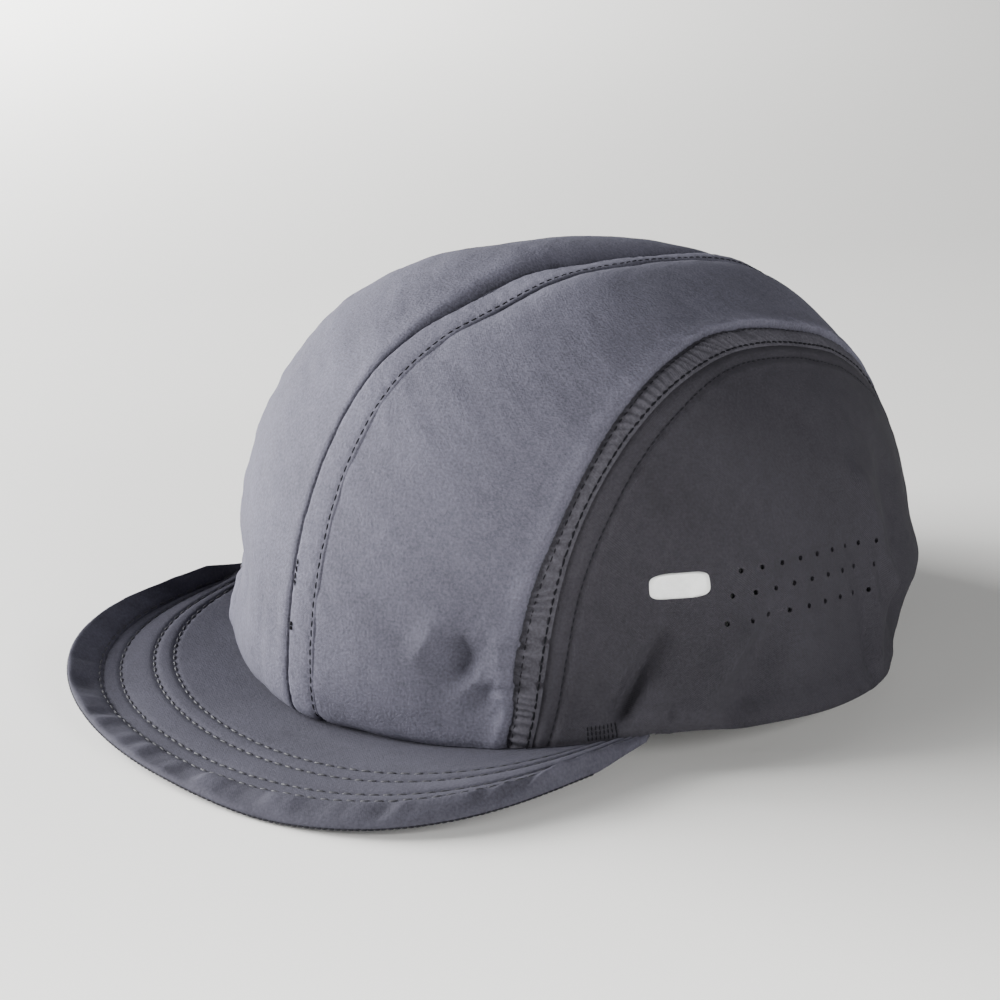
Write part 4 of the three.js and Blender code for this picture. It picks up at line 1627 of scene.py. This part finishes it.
@dataclass
class Peak:
    """The short soft peak: two plies with a rolled edge and four rows of stitches."""

    form: PeakForm = field(default_factory=PeakForm)
    crown: CrownForm = field(default_factory=CrownForm)
    offset: float = 13.035
    ply: float = 2.0
    tongue: float = 5.0
    rim_width: float = 8.9
    rim_round: float = 1.5
    swell: float = 1.1
    upward: float = 0.85
    droop: float = -0.6
    lean: float = -1.5
    curl: float = 2.0
    sink: float = 1.5
    welt_drop: float = -0.45
    curl_power: float = 1.4
    curl_ends: tuple[float, float] = (5.0, 40.0)
    sink_grows: tuple[float, float] = (0.0, 8.4)
    sink_dies: tuple[float, float] = (9.0, 17.0)
    sink_clear: tuple[float, float] = (0.0, 6.0)
    sink_ends: tuple[float, float] = (-45.0, 40.0)
    row_insets: tuple[float, ...] = (8.4, 13.9, 22.8, 28.2)
    row_ditch: Ridge = Ridge(-0.34, 0.85)
    row_puffs: tuple[float, ...] = (0.22, 0.34, 0.22)
    rim_rows: int = 14
    rim_insets: tuple[float, float] = (0.05, 8.0)
    rim_crowding: float = 1.6
    stitched_insets: tuple[float, float, int] = (8.3, 30.0, 56)
    plain_insets: tuple[float, float, int] = (30.8, 60.0, 24)
    root_reach: float = 0.999
    turn_reach: float = 0.9995
    row_reach: float = 0.999
    row_stations: int = 700
    row_clear: float = 0.4
    row_slip: float = 0.05
    measured_row: int = 20
    welt_trim: int = 6
    crowding: float = 0.35
    stations: int = 420
    noise: Unevenness = field(default_factory=lambda: Unevenness(31))

    def grid(self, insets: Array, turns: Array) -> tuple[Array, Array, Array, Array]:
        """Places in plan over the peak.

        Args:
            insets: distances from the edge.
            turns: places round the edge.

        Returns:
            x and y in plan, the distance from the edge and the distance clear of the hem.
        """
        edge_x, edge_y = self.form.edge(turns)
        angle = turns * self.form.corner_angle / (math.pi / 2)
        radius = self.crown.hem.radius(angle) - self.tongue
        root_x, root_y = radius * np.sin(angle), -radius * np.cos(angle)
        width = np.hypot(edge_x - root_x, edge_y - root_y)
        spread = (insets / insets.max())[:, None] ** self.crowding
        inset = np.minimum(insets[:, None], self.root_reach * width[None, :] * spread)
        share = inset / width
        x = edge_x * (1 - share) + root_x * share
        y = edge_y * (1 - share) + root_y * share
        clear = np.hypot(x, y) - self.crown.hem.radius(np.arctan2(x, -y))
        return x, y, inset, clear

    def surfaces(
        self, x: Array, y: Array, inset: Array, clear: Array, along: Array
    ) -> tuple[Array, Array, Array]:
        """Heights of the top and under faces, and the top's relief."""
        near = np.clip(1 - inset / self.rim_width, 0, 1)
        free = np.clip(clear / self.rim_width, 0, 1)
        droop = (self.droop + self.lean * x / self.form.arch_width) * near**2 * free
        swell = self.swell * np.sin(np.pi * np.sqrt(near)) * free
        round_in = np.clip(1 - inset / self.rim_round, 0, 1)
        tuck = 0.5 * self.ply * (1 - np.sqrt(np.clip(1 - round_in**2, 0, 1)))
        base = self.form.top(x, y) + droop
        relief = PEAK_DRIFT.at(self.noise, along, inset)
        for row in self.row_insets:
            relief = relief + self.row_ditch.at(inset - row)
        for first, last, puff in zip(self.row_insets, self.row_insets[1:], self.row_puffs):
            middle, half = (first + last) / 2, (last - first) / 2
            relief = relief + puff * np.clip(1 - ((inset - middle) / half) ** 2, 0, 1)
        wave = sum(drift.at(self.noise, along, inset * 0) for drift in PEAK_EDGE_WAVES)
        relief = relief + wave * np.sin(np.pi * near) * free
        far = 1 - ramp(x, *self.curl_ends)
        base = base + self.curl * near**self.curl_power * free * far
        hollow = ramp(inset, *self.sink_grows) * (1 - ramp(inset, *self.sink_dies))
        hollow = hollow * ramp(clear, *self.sink_clear)
        base = base - self.sink * hollow * (1 - ramp(x, *self.sink_ends))
        top = base + self.upward * swell - tuck + relief
        return top, base - self.ply - (1 - self.upward) * swell + tuck, relief

    def build(self) -> None:
        """Builds the peak and its threads."""
        first, reach = self.rim_insets
        insets = np.concatenate(
            [
                first + np.linspace(0, 1, self.rim_rows) ** self.rim_crowding * reach,
                np.linspace(*self.stitched_insets),
                np.linspace(*self.plain_insets),
            ]
        )
        turns = np.linspace(-1, 1, self.stations) * math.pi / 2 * self.turn_reach
        x, y, inset, clear = self.grid(insets, turns)
        flat = np.stack([x, y, 0 * x], -1)
        along = np.repeat(lengths_along(flat, 1)[self.measured_row][None, :], len(insets), 0)
        top, under, relief = self.surfaces(x, y, inset, clear, along)
        outer, inner = (np.stack([x, y + self.offset, level], -1) for level in (top, under))
        cloth_mm = np.stack([x, y], -1)
        shell = ClothShell("cap_peak", outer, inner, cloth_mm, relief, sharp_deg=40.0)
        piece = shell.build(Finish.BRIM.material())
        hand_over(piece, ["brim"])
        face = Face([piece])
        for number, row in enumerate(self.row_insets):
            self.lay_row(face, number, row)
        ends = slice(self.welt_trim, -self.welt_trim)
        rim = 0.5 * (outer[0] + inner[0])[ends] + np.array([0.0, 0.0, self.welt_drop])
        welt = StitchRow(
            "cap_peak_welt", pitch=1.5, length=1.62, thickness=0.5, wander_deg=1.5, seed=17
        )
        hand_over(welt.lay([rim], Finish.GREY_THREAD))

    def lay_row(self, face: Face, number: int, inset: float) -> None:
        """Lays one stitch row at a distance from the edge, as far as the crown leaves it free."""
        turns = np.linspace(-1, 1, self.row_stations) * math.pi / 2 * self.row_reach
        x, y, inset_at, clear = self.grid(np.array([inset, self.plain_insets[1]]), turns)
        kept = (clear[0] > self.row_clear) & (np.abs(inset_at[0] - inset) < self.row_slip)
        path = np.stack([x[0], y[0] + self.offset, self.form.top(x[0], y[0])], -1)[kept]
        upright = np.repeat(np.array([[0.0, 0.0, 1.0]]), len(path), 0)
        path = face.under(path, upright, lift=0.1)
        name = f"cap_peak_stitches_{number + 1}"
        row = StitchRow(name, pitch=3.25, length=2.3, thickness=0.68, seed=11 + number)
        hand_over(row.lay([path], Finish.GLOSSY_THREAD))


# The plain bar


@dataclass
class LightBar:
    """The plain reflective bar on the wearer's left side panel."""

    crown: Crown
    centre_deg: float = 68.2
    half_deg: float = 5.3
    low_share: float = 0.117
    high_share: float = 0.154
    film: float = 0.5
    power: float = 4.0
    rings: int = 10
    spokes: int = 72
    innermost: float = 0.02
    lift: float = 0.02
    edge_from: float = 0.9
    edge_share: float = 0.1
    edge_loss: float = 0.75
    sharp_deg: float = 50.0

    def faces(self) -> list[tuple[int, ...]]:
        """Quads of both faces and of the rim, and a cap on the middle of each face."""
        spokes, count = self.spokes, self.rings * self.spokes
        rim = count - spokes
        faces: list[tuple[int, ...]] = []
        for ring in range(0, rim, spokes):
            for spoke in range(spokes):
                near, far = ring + spoke, ring + (spoke + 1) % spokes
                faces.append((near, near + spokes, far + spokes, far))
                faces.append((count + far, count + far + spokes, count + near + spokes, count + near))
        for spoke in range(spokes):
            near, far = rim + spoke, rim + (spoke + 1) % spokes
            faces.append((near, count + near, count + far, far))
        faces.append(tuple(range(spokes)))
        faces.append(tuple(count + spoke for spoke in reversed(range(spokes))))
        return faces

    def build(self) -> None:
        """Builds the bar on the finished panel."""
        panel = next(piece for piece in self.crown.pieces if piece.name == "cap_side_panel_left")
        face = Face([panel])
        turn = np.linspace(0, 2 * np.pi, self.spokes, endpoint=False)
        reach = np.abs(np.cos(turn)) ** self.power + np.abs(np.sin(turn)) ** self.power
        reach = reach ** (-1 / self.power)
        growth = np.linspace(self.innermost, 1, self.rings)[:, None]
        angle = np.radians(self.centre_deg + self.half_deg * growth * (reach * np.cos(turn))[None, :])
        middle, half = (self.low_share + self.high_share) / 2, (self.high_share - self.low_share) / 2
        share = middle + half * growth * (reach * np.sin(turn))[None, :]
        points, _ = self.crown.points(angle, share)
        beyond, _ = self.crown.points(angle + STEP_ROUND, share)
        above, _ = self.crown.points(angle, share + STEP_UP)
        normal = np.cross(beyond - points, above - points)
        normal /= np.linalg.norm(normal, axis=2, keepdims=True)
        under = face.under(points.reshape(-1, 3), normal.reshape(-1, 3), self.lift)
        edge = np.clip((growth - self.edge_from) / self.edge_share, 0, 1)
        soft = self.film * (1 - edge**2 * self.edge_loss)
        over = under.reshape(points.shape) + normal * soft[..., None]
        mesh = bpy.data.meshes.new("cap_light_bar")
        vertices = np.vstack([over.reshape(-1, 3), under]) * MM
        mesh.from_pydata(vertices.tolist(), [], self.faces())
        shape = bmesh.new()
        shape.from_mesh(mesh)
        bmesh.ops.recalc_face_normals(shape, faces=shape.faces)
        shape.to_mesh(mesh)
        shape.free()
        shade_smooth(mesh, self.sharp_deg)
        mesh.materials.append(Finish.PRINT.material())
        hand_over(placed("cap_light_bar", mesh), ["reflective_bar"])


# The studio


@dataclass(frozen=True)
class Lamp:
    """A square area light near the cap.

    Offset is its distance to the right, up and towards the camera, from the cap. Facing is where it
    looks, on the same axes, or None for the cap.
    """

    name: str
    offset: tuple[float, float, float]
    energy: float
    facing: tuple[float, float, float] | None = None
    size: float = 0.7


LAMPS = (
    Lamp("key", (-1.057, 0.3655, -0.5575), 36.0),
    Lamp("left_fill", (-1.195, 0.3655, 0.025), 36.0),
    Lamp("right_fill", (0.787, 0.3655, 0.899), 14.0),
    Lamp("rear_wash", (-0.8, 0.8, -1.1), 75.0, (-0.2, -0.75, -0.65)),
    Lamp("near_wash", (-0.2, 0.5, 0.8), 45.0, (0.0, -0.8, 0.6)),
    Lamp("high_left", (-0.9, 0.8, 0.1), 6.0),
)


@dataclass(frozen=True)
class Studio:
    """A pale floor, soft light from the left and the camera of the photograph."""

    azimuth_deg: float = 48.8
    elevation_deg: float = 19.0
    distance: float = 0.7
    target: tuple[float, float, float] = (-0.024, 0.01304, 0.0323)
    lens: float = 94.03
    sensor: float = 36.0
    nearest: float = 0.01
    floor_size: float = 6.0
    floor_colour: tuple[float, ...] = (0.92, 0.912, 0.882, 1.0)
    floor_roughness: float = 0.75
    sky_colour: tuple[float, ...] = (0.93, 0.96, 1.0, 1.0)
    world_strength: float = 0.06

    def directions(self) -> tuple[Vector, Vector, Vector]:
        """The camera's right, up and backward directions."""
        azimuth, elevation = math.radians(self.azimuth_deg), math.radians(self.elevation_deg)
        level = math.cos(elevation)
        back = Vector((math.sin(azimuth) * level, -math.cos(azimuth) * level, math.sin(elevation)))
        right = Vector((math.cos(azimuth), math.sin(azimuth), 0.0))
        return right, back.cross(right), back

    def build_camera(self) -> None:
        """Places the camera."""
        back = self.directions()[2]
        camera = placed("camera", bpy.data.cameras.new("camera"))
        camera.data.lens = self.lens
        camera.data.sensor_width = self.sensor
        camera.data.clip_start = self.nearest
        camera.location = Vector(self.target) + back * self.distance
        camera.rotation_euler = back.to_track_quat("Z", "Y").to_euler()
        bpy.context.scene.camera = camera

    def build_floor(self) -> None:
        """Lays the pale floor."""
        half = self.floor_size / 2
        mesh = bpy.data.meshes.new("floor")
        corners = [(-half, -half, 0), (half, -half, 0), (half, half, 0), (-half, half, 0)]
        mesh.from_pydata(corners, [], [(0, 1, 2, 3)])
        palette = Palette("floor")
        look = {"Base Color": self.floor_colour, "Roughness": self.floor_roughness}
        mesh.materials.append(palette.finish(look))
        floor = placed("floor", mesh)

    def add_lamp(self, lamp: Lamp) -> None:
        """Adds one light."""
        right, _, back = self.directions()
        level_back = Vector((back.x, back.y, 0)).normalized()
        axes = (right, Vector((0, 0, 1)), level_back)

        def along(steps: tuple[float, float, float]) -> Vector:
            """The steps along the three axes as one move."""
            return sum((axis * step for axis, step in zip(axes, steps)), Vector())

        place = Vector(self.target) + along(lamp.offset)
        aim = Vector(self.target) - place if lamp.facing is None else along(lamp.facing)
        light = bpy.data.lights.new(lamp.name, "AREA")
        light.shape = "SQUARE"
        light.size = lamp.size
        light.energy = lamp.energy
        made = placed(lamp.name, light)
        made.location = place
        made.rotation_euler = (-aim).to_track_quat("Z", "Y").to_euler()

    def build(self) -> None:
        """Builds the whole studio."""
        self.build_camera()
        self.build_floor()
        for lamp in LAMPS:
            self.add_lamp(lamp)
        world = bpy.data.worlds.new("studio")
        world.use_nodes = True
        background = world.node_tree.nodes["Background"]
        background.inputs[0].default_value = self.sky_colour
        background.inputs[1].default_value = self.world_strength
        bpy.context.scene.world = world
        LOG.info("studio ready")


def main() -> None:
    """Builds the cap and the studio in order."""
    logging.basicConfig(level=logging.INFO, format="%(name)s: %(message)s")
    Studio().build()
    crown = Crown()
    crown.build()
    Peak().build()
    LightBar(crown).build()


if __name__ == "__main__":
    main()
